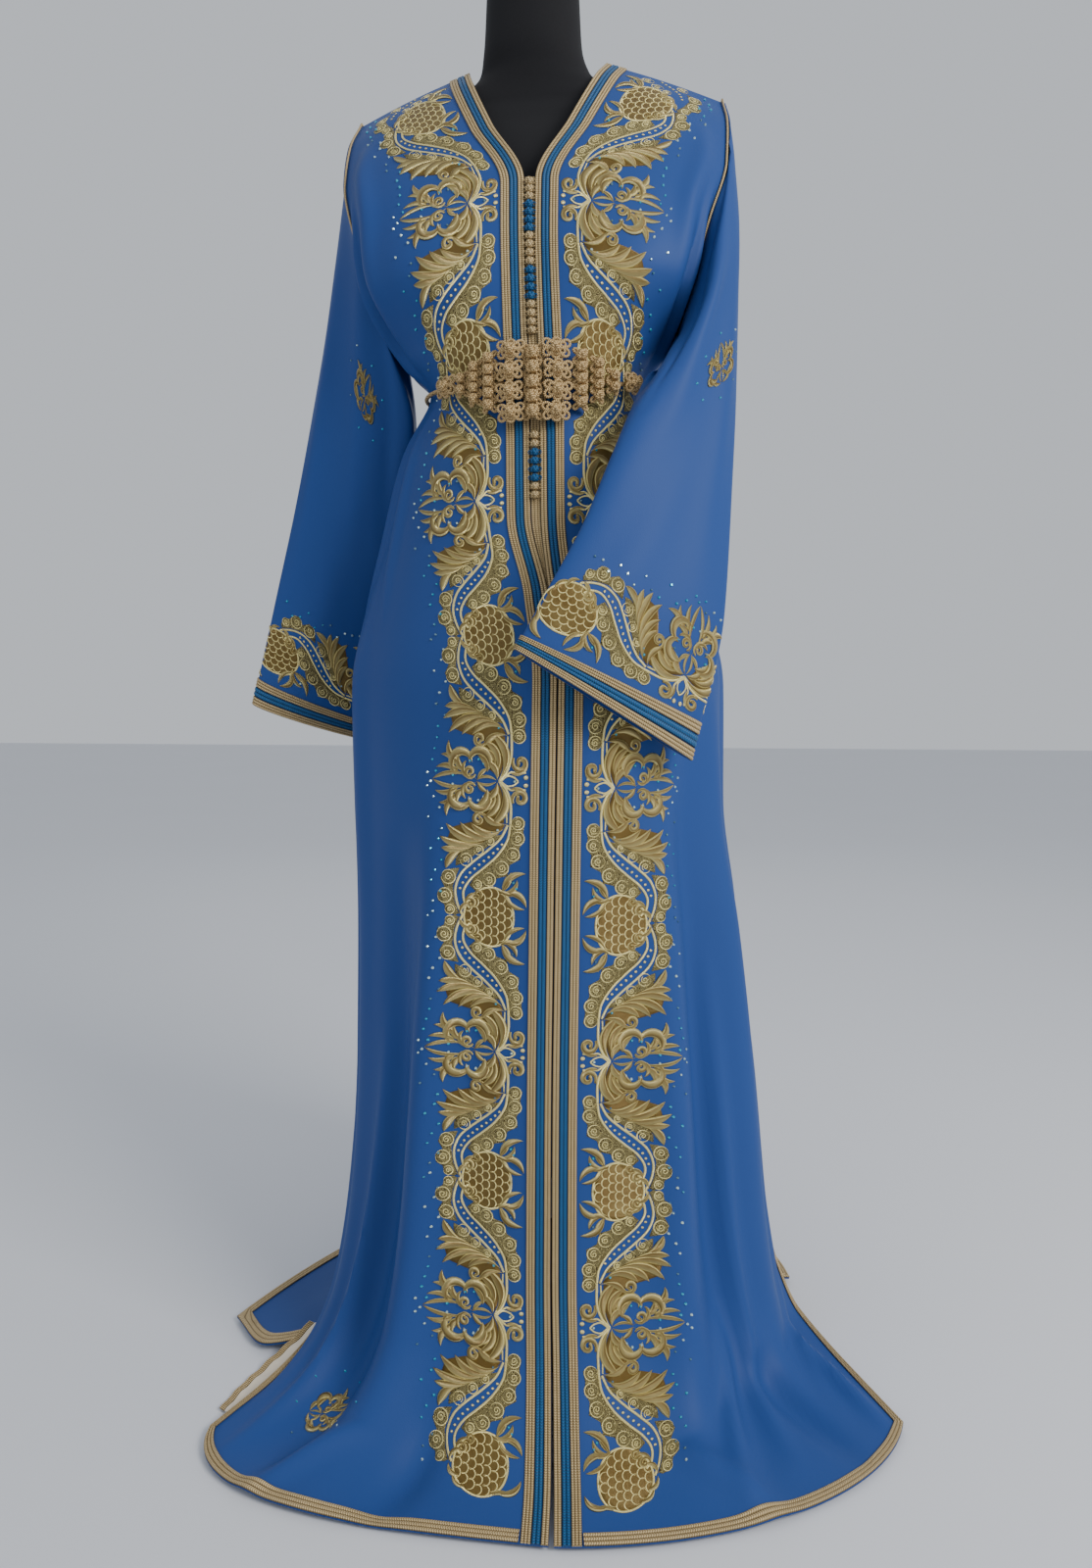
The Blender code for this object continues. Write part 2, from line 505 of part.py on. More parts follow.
def sleeve_rows(side):
    """Places along the sleeve: the last four are the edges of the cuff braids."""
    length = np.linalg.norm(sleeve_point(side, 0.25, CUFF) - sleeve_point(side, 0.25, CUFF - 1))
    bands = [CUFF - (CUFF_BAND + SEAM) * k / length for k in (3, 2, 1)]
    return SLEEVE_ROWS + bands + [float(CUFF)]


def sleeve(side):
    turns = [k / SLEEVE_SIDES for k in range(SLEEVE_SIDES)]
    rows = sleeve_rows(side)
    outer = [[sleeve_point(side, u, t) for u in turns] for t in rows]
    inner = [[sleeve_point(side, u, t, -WALL) for u in turns] for t in rows]
    return shell("sleeve_" + side, outer, inner, "cloth", wrap=True)


def cuff_bands(side):
    length = np.linalg.norm(sleeve_point(side, 0.25, CUFF) - sleeve_point(side, 0.25, CUFF - 1))
    turns = [k / SLEEVE_SIDES for k in range(SLEEVE_SIDES)]
    for k, (label, colour) in enumerate((("gold_edge", "gold"), ("blue", "blue"), ("gold_top", "gold"))):
        low = CUFF - (CUFF_BAND + SEAM) * k / length
        high = low - CUFF_BAND / length
        grids = [[[sleeve_point(side, u, t, lift) for u in turns] for t in (high, low)]
                 for lift in (LIFT + BRAID, LIFT)]
        shell("cuff_%s_%s" % (label, side), grids[0], grids[1], colour, wrap=True)


# ---------------------------------------------------------------- braids
def front_braid(name, panel, start, width, colour):
    rows = FRONT_ROWS
    grids = [[[on_panel(panel, share_at(panel, t, d), t, lift) for d in (start, start + width)] for t in rows]
             for lift in (LIFT + BRAID, LIFT)]
    return shell(name, grids[0], grids[1], colour)


def hem_pair(panel, s, lift):
    """The hem braid's two edges at one place: the hem, and a braid's width straight up the cloth."""
    edge, above = (np.array(on_panel(panel, s, t, lift)) for t in (HEM, HEM_ROW[panel]))
    return [edge, edge + unit(above - edge) * HEM_BRAID]


def slit_pair(panel, way, t, lift):
    """The same braid's two edges where it climbs the side slit."""
    return [on_panel(panel, way, t, lift), on_panel(panel, way * share_at(panel, t, -HEM_BRAID), t, lift)]


def corner_pairs(panel, way, lift):
    """From the hem round the corner to the slit."""
    turn = hem_pair(panel, way * share_at(panel, HEM, -HEM_BRAID), lift)
    return [turn, [on_panel(panel, way, HEM, lift), turn[1]]]


def hem_braid(name, panel):
    grids = []
    for lift in (HEM_LIFT + BRAID, HEM_LIFT):
        start = share_at(panel, HEM, PLACKET + 0.002)
        grid = [hem_pair(panel, s, lift) for s in [start] + FRONT_SHARES] + corner_pairs(panel, 1.0, lift)
        grids.append(grid + [slit_pair(panel, 1.0, t, lift) for t in [HEM_ROW[panel]] + SLIT_ROWS])
    return shell(name, grids[0], grids[1], "gold")


def back_hem_braid():
    grids = []
    for lift in (HEM_LIFT + BRAID, HEM_LIFT):
        climb = [HEM_ROW["back"]] + SLIT_ROWS
        grid = [slit_pair("back", -1.0, t, lift) for t in reversed(climb)]
        grid += reversed(corner_pairs("back", -1.0, lift))
        shares = [-k for k in reversed(BACK_SHARES[1:])] + [0.0] + BACK_SHARES[1:]
        grid += [hem_pair("back", s, lift) for s in shares] + corner_pairs("back", 1.0, lift)
        grids.append(grid + [slit_pair("back", 1.0, t, lift) for t in climb])
    return shell("hem_braid_back", grids[0], grids[1], "gold")


def back_neck_braid(name, tree, start, width, colour):
    """A band round the back of the neck, laid on the back panel."""
    rows = []
    for k in range(NECK_STEPS + 1):
        a = math.radians(NECK_REACH * (2 * k / NECK_STEPS - 1))
        edge = np.array([NECK_POINT[0] * math.sin(a),
                         NECK_POINT[1] + (BACK[0].mid_y - NECK_POINT[1]) * math.cos(a),
                         BACK[0].mid_z + (NECK_POINT[2] - BACK[0].mid_z) * (1 - math.cos(a))])
        away = unit(np.array([math.sin(a) * 0.7, max(math.cos(a), 0.0), -0.55]))
        pair = []
        for d in (start, start + width):
            place, normal, _, _ = tree.find_nearest(Vector(edge + away * d))
            if normal.dot(Vector(away + np.array([0, 0, 1.2]))) < 0:
                normal = -normal
            pair.append((np.array(place), np.array(normal)))
        rows.append(pair)
    grids = [[[p + n * lift for p, n in pair] for pair in rows] for lift in (NECK_LIFT + BRAID, NECK_LIFT)]
    return shell(name, grids[0], grids[1], colour)


def armhole_piping(side):
    points = []
    for k in range(-PIPING_STEPS, PIPING_STEPS + 1):
        t = UNDERARM * PIPING_REACH * abs(k) / PIPING_STEPS
        panel = ("front_" + side) if k >= 0 else "back"
        s = share_at(panel, t, -PIPING * 2)
        if panel == "back" and side == "right":
            s = -s
        ridge = PIPING if k == 0 else 0.0
        points.append(on_panel(panel, s, t, PIPING + LIFT + ridge * 0.8))
    return tube("piping_" + side, points, [PIPING] * len(points), 5, "gold")


# ---------------------------------------------------------------- buttons and belt
def front_line(z):
    """A point of the front's centre line, and the way it faces."""
    ts = np.linspace(0, HEM, 361)
    best = min(ts, key=lambda t: abs(smooth(FRONT, t).in_z - z))
    row = smooth(FRONT, best)
    return np.array([row.mid_x, row.in_y, z]), best


def beads(name, points, radius, colour, sides=6):
    """A column of touching balls, one body: each ball is two rings, with a waist between two balls."""
    path, radii = [], []
    profile = ((-0.48, 0.45), (-0.22, 0.97), (0.22, 0.97))
    count = len(points)
    for i, point in enumerate(points):
        ahead = points[i + 1] - point if i + 1 < count else point - points[i - 1]
        for place, size in profile:
            path.append(point + ahead * place)
            radii.append(radius * size)
        if i + 1 == count:
            path.append(point + ahead * 0.48)
            radii.append(radius * 0.45)
    return tube(name, path, radii, sides, colour)


def button_run(run):
    points = []
    for k in range(run.count):
        z = run.top - BUTTON_PITCH * k
        place, _ = front_line(z)
        points.append(place + np.array([0.0, -(LIFT + BRAID + 0.0006), 0.0]))
    gap = 0.0006 / BUTTON_PITCH
    middle = sum(points) / len(points)
    points = [middle + (p - middle) * (1 - gap) for p in points]
    return beads(run.name, points, BUTTON_RADIUS, run.colour)


def waist_point(angle, lift):
    """A point round the waist, angle 0 at the front, going to the wearer's left."""
    t = 6.0
    a = (angle + 180) % 360 - 180
    if abs(a) <= 90:
        panel = "front_left" if a >= 0 else "front_right"
        point, normal = bare(panel, abs(a) / 90, t), outward(panel, abs(a) / 90, t)
    else:
        s = math.copysign(1 - (abs(a) - 90) / 90, a)
        point, normal = bare("back", s, t), outward("back", s, t)
    return point + normal * lift


def belt_cord():
    points = []
    for k in range(36):
        angle = 360 * k / 36
        front = max(0.0, math.cos(math.radians(angle)))
        points.append(waist_point(angle, BELT_CORD + 0.0010 + 0.0042 * front ** 0.5))
    return tube("belt_cord", points, [BELT_CORD] * len(points), 5, "belt", closed=True)


def plaque_point(across_x, up, lift):
    """A point in front of the waist on the plaque's own curved face."""
    centre = FRONT[6].mid_x
    x = centre + across_x
    width = (FRONT[6].left_x if across_x >= 0 else FRONT[6].right_x) - centre
    share = min(abs(across_x / width), 0.95)
    y = FRONT[6].in_y * math.sqrt(1 - share ** 2)
    slope = share / math.sqrt(1 - share ** 2) * FRONT[6].in_y / width
    normal = unit(np.array([-slope, -1.0, 0.0]))
    return np.array([x, y, 1.093 + 0.012 * share + up]) + normal * lift, normal


def flower_knot(knot):
    """A four-loop knot: a round lobed button with a raised middle."""
    centre, normal = plaque_point(knot.across, knot.up, PLAQUE_LIFT)
    side = unit(np.cross((0, 0, 1.0), normal))
    up = np.cross(normal, side)
    sides = 12
    rings = [(-0.0036, 0.60), (-0.0018, 0.96), (0.0018, 0.92), (0.0038, 0.40)]
    verts, faces = [], []
    for depth, size in rings:
        for k in range(sides):
            a = 2 * math.pi * k / sides
            lobe = 1.0 - 0.16 * (1 - abs(math.cos(2 * a)))
            r = knot.radius * size * lobe
            verts.append(centre + normal * depth + side * (r * math.cos(a)) + up * (r * math.sin(a)))
    for i in range(len(rings) - 1):
        for k in range(sides):
            m = (k + 1) % sides
            faces.append((i * sides + k, i * sides + m, (i + 1) * sides + m, (i + 1) * sides + k))
    faces.append(tuple(reversed(range(sides))))
    faces.append(tuple((len(rings) - 1) * sides + k for k in range(sides)))
    return add_object(knot.name, verts, faces, "belt")


def bead_column(column):
    points = []
    for k in range(column.count):
        up = column.height * (0.5 - k / (column.count - 1)) * (1 - 1 / column.count)
        points.append(plaque_point(column.across, up, PLAQUE_LIFT)[0])
    return beads(column.name, points, column.radius, "belt")


# ---------------------------------------------------------------- lining that shows at the right slit
def lining():
    """A corner of the satin lining, on the floor past the right front's slit, with its own braid."""
    rows_t = [15.6, 16.0, 16.4, 16.8, 17.2, 17.6]
    reach = (-0.016, 0.000, 0.012, 0.024)
    cloth, edge = [], []
    for i, t in enumerate(rows_t):
        rail = bare("front_right", 1.0, t)
        ahead = unit(bare("front_right", 1.0, min(t + 0.1, HEM)) - bare("front_right", 1.0, t - 0.1))
        out = unit(np.cross(ahead, (0, 0, 1.0)))
        if out[0] > 0:
            out = -out
        spread = 0.35 + 0.65 * math.sin(math.pi * (i + 0.6) / len(rows_t))
        line = []
        for r in reach:
            place = rail + out * (r * (spread if r > 0 else 1.0))
            place[2] = max(rail[2] - 0.0046 - 0.25 * max(r, 0.0), 0.0024)
            line.append(place)
        cloth.append(line)
        border = [line[-1] + out * 0.0010, line[-1] + out * 0.0085]
        for place in border:
            place[2] = max(line[-1][2] - 0.0004, 0.0024)
        edge.append(border)
    for name, grid, thick, colour in (("lining", cloth, 0.0010, "lining"), ("lining_braid", edge, BRAID, "gold")):
        top = [[p + np.array([0, 0, thick / 2]) for p in line] for line in grid]
        low = [[p - np.array([0, 0, thick / 2]) for p in line] for line in grid]
        shell(name, top, low, colour)


# ---------------------------------------------------------------- dress form
def torso():
    verts, faces = [], []
    for row in TORSO:
        for k in range(FORM_SIDES):
            a = 2 * math.pi * k / FORM_SIDES
            depth = row.front if math.sin(a) < 0 else row.back
            verts.append((row.mid_x + row.half_width * math.cos(a), depth * math.sin(a) + 0.004, row.z))
    for i in range(len(TORSO) - 1):
        for k in range(FORM_SIDES):
            m = (k + 1) % FORM_SIDES
            a, b = i * FORM_SIDES, (i + 1) * FORM_SIDES
            faces.append((a + k, a + m, b + m, b + k))
    faces.append(tuple(reversed(range(FORM_SIDES))))
    faces.append(tuple((len(TORSO) - 1) * FORM_SIDES + k for k in range(FORM_SIDES)))
    return add_object("form_torso", verts, faces, "form")


def turned(name, x, y, profile, colour, sides=32):
    """A round piece: profile is a list of (radius, z), from its lowest ring to its highest."""
    path = [(x, y, z) for _, z in profile]
    verts, faces = [], []
    for radius, z in profile:
        verts += [(x + radius * math.cos(2 * math.pi * k / sides), y + radius * math.sin(2 * math.pi * k / sides), z)
                  for k in range(sides)]
    for i in range(len(path) - 1):
        for k in range(sides):
            m = (k + 1) % sides
            faces.append((i * sides + k, i * sides + m, (i + 1) * sides + m, (i + 1) * sides + k))
    faces.append(tuple(reversed(range(sides))))
    faces.append(tuple((len(path) - 1) * sides + k for k in range(sides)))
    return add_object(name, verts, faces, colour)


def stand():
    top = TORSO[-1].z
    turned("neck_cap", TORSO[-1].mid_x, 0.002, [(0.046, top + 0.0004), (0.051, top + 0.004), (0.049, top + 0.010),
                                     (0.040, top + 0.014)], "stand")
    turned("pole", 0.0, 0.0, [(POLE_RADIUS, BASE_HEIGHT + 0.0062), (POLE_RADIUS, TORSO[0].z - 0.0004)], "stand", 20)
    turned("base", 0.0, 0.0, [(BASE_RADIUS, 0.0), (BASE_RADIUS, BASE_HEIGHT * 0.6), (BASE_RADIUS - 0.008, BASE_HEIGHT),
                              (0.030, BASE_HEIGHT + 0.001), (0.026, BASE_HEIGHT + 0.006)], "stand")


# ---------------------------------------------------------------- build
def clear_scene():
    for obj in list(bpy.data.objects):
        bpy.data.objects.remove(obj, do_unlink=True)


def build():
    clear_scene()
    for side in ("left", "right"):
        panel = "front_" + side
        front_panel(panel)
        place = 0.0
        for label, width, colour in (("gold_inner", GOLD_INNER, "gold"), ("blue", BLUE, "blue"),
                                     ("gold_outer", GOLD_OUTER, "gold")):
            front_braid("braid_%s_%s" % (label, side), panel, place, width, colour)
            place += width + SEAM
        hem_braid("hem_braid_" + side, panel)
        sleeve(side)
        cuff_bands(side)
        armhole_piping(side)
    tree = surface_tree(back_panel())
    place = 0.0
    for label, width, colour in (("gold_inner", GOLD_INNER, "gold"), ("blue", BLUE, "blue"),
                                 ("gold_outer", GOLD_OUTER, "gold")):
        back_neck_braid("neck_braid_" + label, tree, place, width, colour)
        place += width + SEAM
    back_hem_braid()
    for run in BUTTON_RUNS:
        button_run(run)
    belt_cord()
    for knot in KNOTS:
        flower_knot(knot)
    for column in BEAD_COLUMNS:
        bead_column(column)
    lining()
    torso()
    stand()


build()
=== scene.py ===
"""Looks of a Moroccan kaftan on its dress form.

The cloth, the figured embroidery, the braids, the knotted buttons and belt, the form and the light.
Frame: metres, +Z up, -Y is the front of the garment, the wearer's left lies towards +X. Embroidery is
drawn flat in millimetres (across the band, along the band) and then laid on the cloth.
"""
import math
from collections import namedtuple

import bpy
import numpy as np
from bpy.props import FloatProperty, FloatVectorProperty, IntProperty, PointerProperty
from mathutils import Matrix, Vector
from mathutils.bvhtree import BVHTree
from mathutils.geometry import delaunay_2d_cdt


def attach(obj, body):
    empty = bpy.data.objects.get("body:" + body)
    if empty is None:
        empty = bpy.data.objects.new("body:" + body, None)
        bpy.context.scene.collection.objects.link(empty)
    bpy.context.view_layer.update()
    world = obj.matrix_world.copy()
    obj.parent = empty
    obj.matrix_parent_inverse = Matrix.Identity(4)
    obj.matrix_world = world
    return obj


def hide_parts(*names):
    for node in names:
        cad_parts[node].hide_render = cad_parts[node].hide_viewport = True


bl_info = {
    "name": "Moroccan Kaftan",
    "version": (1, 0, 0),
    "blender": (4, 5, 0),
    "location": "View3D > Sidebar > Kaftan",
    "description": "An embroidered kaftan with braids, knotted buttons and a knotted belt, on a dress form",
    "category": "Add Mesh",
}

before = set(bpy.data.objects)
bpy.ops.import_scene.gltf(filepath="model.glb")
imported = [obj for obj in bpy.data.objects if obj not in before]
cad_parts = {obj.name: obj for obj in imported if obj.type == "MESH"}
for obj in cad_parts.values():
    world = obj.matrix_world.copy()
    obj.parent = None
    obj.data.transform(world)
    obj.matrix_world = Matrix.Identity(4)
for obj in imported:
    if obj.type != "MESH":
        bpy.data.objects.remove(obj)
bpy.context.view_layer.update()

MM = 0.001
WALL = 0.0015            # one layer of lined crepe
LIFT = 0.0008            # space between a panel and what is sewn on it
BRAID = 0.0016           # thickness of a braid
SEAM = 0.0006            # space between two braids side by side
GOLD_OUTER, BLUE, GOLD_INNER = 0.0095, 0.0080, 0.0070      # widths of the three front braids
PLACKET = GOLD_OUTER + BLUE + GOLD_INNER + 2 * SEAM
HEM_BRAID = 0.0125
CUFF_BAND = 0.0090
HEM, CUFF = 18.0, 7.0    # last sections of a panel and of a sleeve
SLIT_TOP = 12.0          # section where the side slits start
UNDERARM = 5.0           # last section of the armhole
WAIST = 6                # section under the belt, and its height in front
WAIST_HEIGHT = 1.093
SHOULDER_ROLL = 0.5      # sections over which the cloth turns from the top of the shoulder to its face
NECK_SHARE = 0.38        # share of the back's first section that follows the neckline
NECK_POINT = (0.0800, 0.0126, 1.492)      # where the neckline meets the left shoulder seam
NECK_REACH = 85          # degrees that the neck braids run to each side of the middle of the back
PIPED = 0.68             # share of the armhole's sections that the piping follows
REPEAT = 290.0           # millimetres from one flower of the band to the next
BAND_TRACK = 75.0        # the band's length is measured this far from the front edge
FLOWERS = (240.0, 561.0, 868.0, 1153.0, 1428.0)      # the flowers' axes, from the shoulder seam down
BAND_WIDE = 240.0        # millimetres from the front edge that the band's chart covers
BUTTON_PITCH = 0.0090
BUTTON_RADIUS = 0.0047
FACING = (2.95, 9.05)    # sections down the front where the strip under the buttons starts and ends
FACING_DEPTH = 0.0022
BELT_CORD = 0.0016       # radius of the belt's cord
KNOT_LIFT, BEAD_LIFT = 0.0166, 0.0172     # middles of the plaque's knots and beads, in front of the waist
THREAD_REST = 0.15       # millimetres from the cloth to the underside of a stitch
THREAD_BASE, THREAD_RISE = 0.35, 0.23     # a stitch's height in millimetres, and what it gains with width
NET_LIFT, FRUIT_LIFT = 0.32, 0.42         # tops of the patches under the stitches, in millimetres
LINING_RUN = (15.6, 17.6)                 # sections between which the corner of lining shows
LINING_REACH = (-0.016, 0.024)            # from under the front's edge to the lining's own edge
PANEL_COLS = {"front_left": 61, "front_right": 61, "back": 101}
SLEEVE_ROWS, SLEEVE_COLS = 141, 84

# ------------------------------------------------------------------ tables of sections
# Fronts. mid_x: the centre line; open: half of the space between the two front edges; in_y, in_z: the
# front edge; left_* and right_*: the outer edges; left_full and right_full: 1 for an elliptic section, 0 for
# a straight one, more than 1 for one that turns late; bow: how far its middle swells outwards.
Front = namedtuple("Front", "mid_x open in_y in_z left_x left_y left_z right_x right_y right_z "
                            "left_full right_full bow")
FRONT = [
    Front(0.000, 0.0800, 0.012, 1.492, 0.215, 0.020, 1.445, -0.215, 0.020, 1.445, 0.0, 0.0, 0.003),
    Front(0.001, 0.0690, -0.028, 1.458, 0.2195, -0.010, 1.405, -0.2195, -0.010, 1.405, 0.3, 0.3, 0.004),
    Front(0.003, 0.0420, -0.070, 1.392, 0.217, -0.038, 1.350, -0.217, -0.038, 1.350, 0.6, 0.6, 0.006),
    Front(0.007, 0.0060, -0.105, 1.315, 0.196, -0.058, 1.280, -0.198, -0.058, 1.280, 0.8, 0.8, 0.012),
    Front(0.010, 0.0055, -0.126, 1.235, 0.175, -0.052, 1.210, -0.180, -0.050, 1.210, 1.0, 1.0, 0.016),
    Front(0.013, 0.0055, -0.132, 1.155, 0.150, 0.002, 1.150, -0.152, 0.002, 1.150, 1.0, 1.0, 0.006),
    Front(0.016, 0.0055, -0.135, 1.092, 0.129, 0.000, 1.112, -0.123, 0.000, 1.112, 1.0, 1.0, 0.000),
    Front(0.017, 0.0055, -0.140, 1.030, 0.152, 0.000, 1.040, -0.152, 0.000, 1.045, 1.0, 1.0, 0.002),
    Front(0.019, 0.0055, -0.148, 0.955, 0.178, 0.000, 0.945, -0.177, 0.000, 0.945, 1.0, 1.0, 0.004),
    Front(0.036, 0.0007, -0.172, 0.870, 0.202, 0.000, 0.860, -0.199, 0.000, 0.860, 1.0, 1.0, 0.004),
    Front(0.048, 0.0007, -0.198, 0.777, 0.219, 0.000, 0.777, -0.214, 0.000, 0.777, 1.0, 1.0, 0.002),
    Front(0.047, 0.0007, -0.208, 0.640, 0.220, 0.000, 0.640, -0.209, 0.000, 0.640, 1.0, 1.0, 0.000),
    Front(0.046, 0.0007, -0.214, 0.500, 0.238, 0.000, 0.500, -0.204, 0.000, 0.500, 1.0, 1.0, 0.000),
    Front(0.045, 0.0007, -0.222, 0.340, 0.258, 0.003, 0.335, -0.205, -0.012, 0.335, 1.0, 1.0, 0.000),
    Front(0.046, 0.0008, -0.236, 0.180, 0.277, 0.006, 0.165, -0.211, -0.050, 0.170, 1.0, 1.0, 0.000),
    Front(0.050, 0.0010, -0.262, 0.085, 0.298, 0.004, 0.070, -0.222, -0.105, 0.070, 1.0, 1.1, 0.000),
    Front(0.056, 0.0012, -0.310, 0.034, 0.325, -0.032, 0.022, -0.247, -0.170, 0.024, 0.9, 1.2, 0.000),
    Front(0.061, 0.0016, -0.354, 0.014, 0.366, -0.105, 0.010, -0.276, -0.232, 0.011, 0.8, 1.35, 0.000),
    Front(0.065, 0.0024, -0.398, 0.006, 0.414, -0.198, 0.006, -0.306, -0.292, 0.006, 0.75, 1.5, 0.000),
]

# Back, one piece. mid_y, mid_z: the middle of the back; left_* and right_*: its outer edges.
Back = namedtuple("Back", "mid_y mid_z left_x left_y left_z right_x right_y right_z "
                          "left_full right_full bow")
BACK = [
    Back(0.070, 1.475, 0.215, 0.0206, 1.445, -0.215, 0.0206, 1.445, 0.0, 0.0, 0.000),
    Back(0.093, 1.422, 0.216, 0.046, 1.402, -0.216, 0.046, 1.402, 0.5, 0.5, 0.003),
    Back(0.106, 1.350, 0.207, 0.068, 1.345, -0.207, 0.068, 1.345, 0.8, 0.8, 0.006),
    Back(0.108, 1.280, 0.188, 0.070, 1.280, -0.190, 0.070, 1.280, 0.9, 0.9, 0.006),
    Back(0.100, 1.212, 0.170, 0.056, 1.212, -0.173, 0.056, 1.212, 1.0, 1.0, 0.004),
    Back(0.092, 1.155, 0.150, 0.0026, 1.150, -0.152, 0.0026, 1.150, 1.0, 1.0, 0.002),
    Back(0.086, 1.112, 0.129, 0.0006, 1.112, -0.123, 0.0006, 1.112, 1.0, 1.0, 0.000),
    Back(0.102, 1.040, 0.152, 0.0006, 1.040, -0.152, 0.0006, 1.045, 1.0, 1.0, 0.002),
    Back(0.128, 0.945, 0.178, 0.0006, 0.945, -0.177, 0.0006, 0.945, 1.0, 1.0, 0.004),
    Back(0.148, 0.860, 0.202, 0.0006, 0.860, -0.199, 0.0006, 0.860, 1.0, 1.0, 0.004),
    Back(0.162, 0.777, 0.219, 0.0006, 0.777, -0.214, 0.0006, 0.777, 1.0, 1.0, 0.002),
    Back(0.175, 0.640, 0.220, 0.0006, 0.640, -0.209, 0.0006, 0.640, 1.0, 1.0, 0.000),
    Back(0.187, 0.500, 0.238, 0.0006, 0.500, -0.204, 0.0006, 0.500, 1.0, 1.0, 0.000),
    Back(0.200, 0.340, 0.251, 0.012, 0.340, -0.203, 0.002, 0.340, 1.0, 1.0, 0.000),
    Back(0.216, 0.180, 0.262, 0.022, 0.180, -0.204, -0.020, 0.180, 1.0, 1.0, 0.000),
    Back(0.236, 0.085, 0.274, 0.026, 0.085, -0.212, -0.070, 0.070, 1.0, 0.9, 0.000),
    Back(0.270, 0.034, 0.287, 0.034, 0.034, -0.238, -0.138, 0.020, 1.0, 0.7, 0.000),
    Back(0.300, 0.014, 0.304, 0.046, 0.014, -0.298, -0.160, 0.010, 0.9, 0.55, 0.000),
    Back(0.330, 0.006, 0.325, 0.060, 0.006, -0.357, -0.108, 0.006, 0.8, 0.45, 0.000),
]

# Folds. s0, s1: place across the panel at the fold's two ends; t0, t1: sections where it starts and
# ends; height: outwards, in metres, less than zero for a trough; width: across the panel.
Fold = namedtuple("Fold", "s0 s1 t0 t1 height width")
FOLDS = {
    "front_left": [
        Fold(0.42, 0.34, 10.8, 17.9, 0.020, 0.085), Fold(0.58, 0.50, 10.2, 17.4, -0.018, 0.080),
        Fold(0.77, 0.70, 9.8, 17.6, 0.022, 0.085), Fold(0.90, 0.86, 11.0, 17.0, -0.010, 0.060),
        Fold(0.74, 0.70, 1.4, 5.4, 0.007, 0.080),
    ],
    "front_right": [
        Fold(0.32, 0.48, 10.6, 18.2, 0.026, 0.085), Fold(0.50, 0.66, 11.0, 18.0, -0.020, 0.085),
        Fold(0.74, 0.86, 8.0, 17.2, 0.014, 0.075), Fold(0.74, 0.72, 1.4, 5.4, 0.008, 0.080),
    ],
    "back": [
        Fold(-0.86, -0.86, 7.6, 17.4, 0.012, 0.070), Fold(-0.62, -0.62, 6.4, 18.0, 0.030, 0.090),
        Fold(-0.44, -0.44, 7.0, 18.0, -0.024, 0.090), Fold(-0.253, -0.253, 6.5, 18.2, 0.028, 0.090),
        Fold(-0.06, -0.06, 7.2, 18.0, -0.022, 0.090), Fold(0.127, 0.127, 6.4, 18.2, 0.030, 0.090),
        Fold(0.31, 0.31, 7.0, 18.0, -0.022, 0.090), Fold(0.50, 0.50, 6.6, 17.8, 0.028, 0.090),
        Fold(0.68, 0.68, 7.0, 17.4, -0.018, 0.080), Fold(0.86, 0.86, 7.4, 17.2, 0.014, 0.070),
        Fold(-0.30, -0.28, 1.6, 6.0, -0.005, 0.090), Fold(0.30, 0.28, 1.6, 6.0, -0.005, 0.090),
    ],
}

# Sleeves, flattened tubes from the armhole to the cuff. out_*: the upper fold edge; in_*: the underarm
# edge; thick: across the two layers; face: the way the front layer looks, in degrees from -Y to +X.
Sleeve = namedtuple("Sleeve", "out_x out_y out_z in_x in_y in_z thick face")
SLEEVES = {
    "left": [
        Sleeve(0.216, 0.014, 1.442, 0.152, 0.002, 1.149, 0.130, 0),
        Sleeve(0.225, 0.004, 1.372, 0.159, -0.044, 1.130, 0.112, 6),
        Sleeve(0.229, -0.018, 1.290, 0.150, -0.104, 1.112, 0.084, 14),
        Sleeve(0.229, -0.044, 1.200, 0.126, -0.152, 1.072, 0.060, 20),
        Sleeve(0.228, -0.076, 1.090, 0.102, -0.188, 1.008, 0.046, 22),
        Sleeve(0.224, -0.114, 0.980, 0.074, -0.216, 0.934, 0.038, 20),
        Sleeve(0.217, -0.152, 0.850, 0.040, -0.240, 0.866, 0.032, 18),
        Sleeve(0.184, -0.178, 0.700, 0.012, -0.252, 0.812, 0.030, 16),
    ],
    "right": [
        Sleeve(-0.216, 0.014, 1.442, -0.152, 0.002, 1.149, 0.130, 0),
        Sleeve(-0.232, 0.018, 1.372, -0.150, 0.008, 1.112, 0.112, 0),
        Sleeve(-0.246, 0.020, 1.295, -0.151, 0.012, 1.066, 0.088, -2),
        Sleeve(-0.262, 0.020, 1.205, -0.161, 0.020, 1.014, 0.066, -6),
        Sleeve(-0.282, 0.020, 1.110, -0.176, 0.034, 0.952, 0.050, -12),
        Sleeve(-0.306, 0.018, 1.000, -0.192, 0.054, 0.878, 0.040, -18),
        Sleeve(-0.334, 0.012, 0.880, -0.204, 0.074, 0.790, 0.034, -24),
        Sleeve(-0.361, 0.000, 0.754, -0.214, 0.090, 0.702, 0.032, -28),
    ],
}

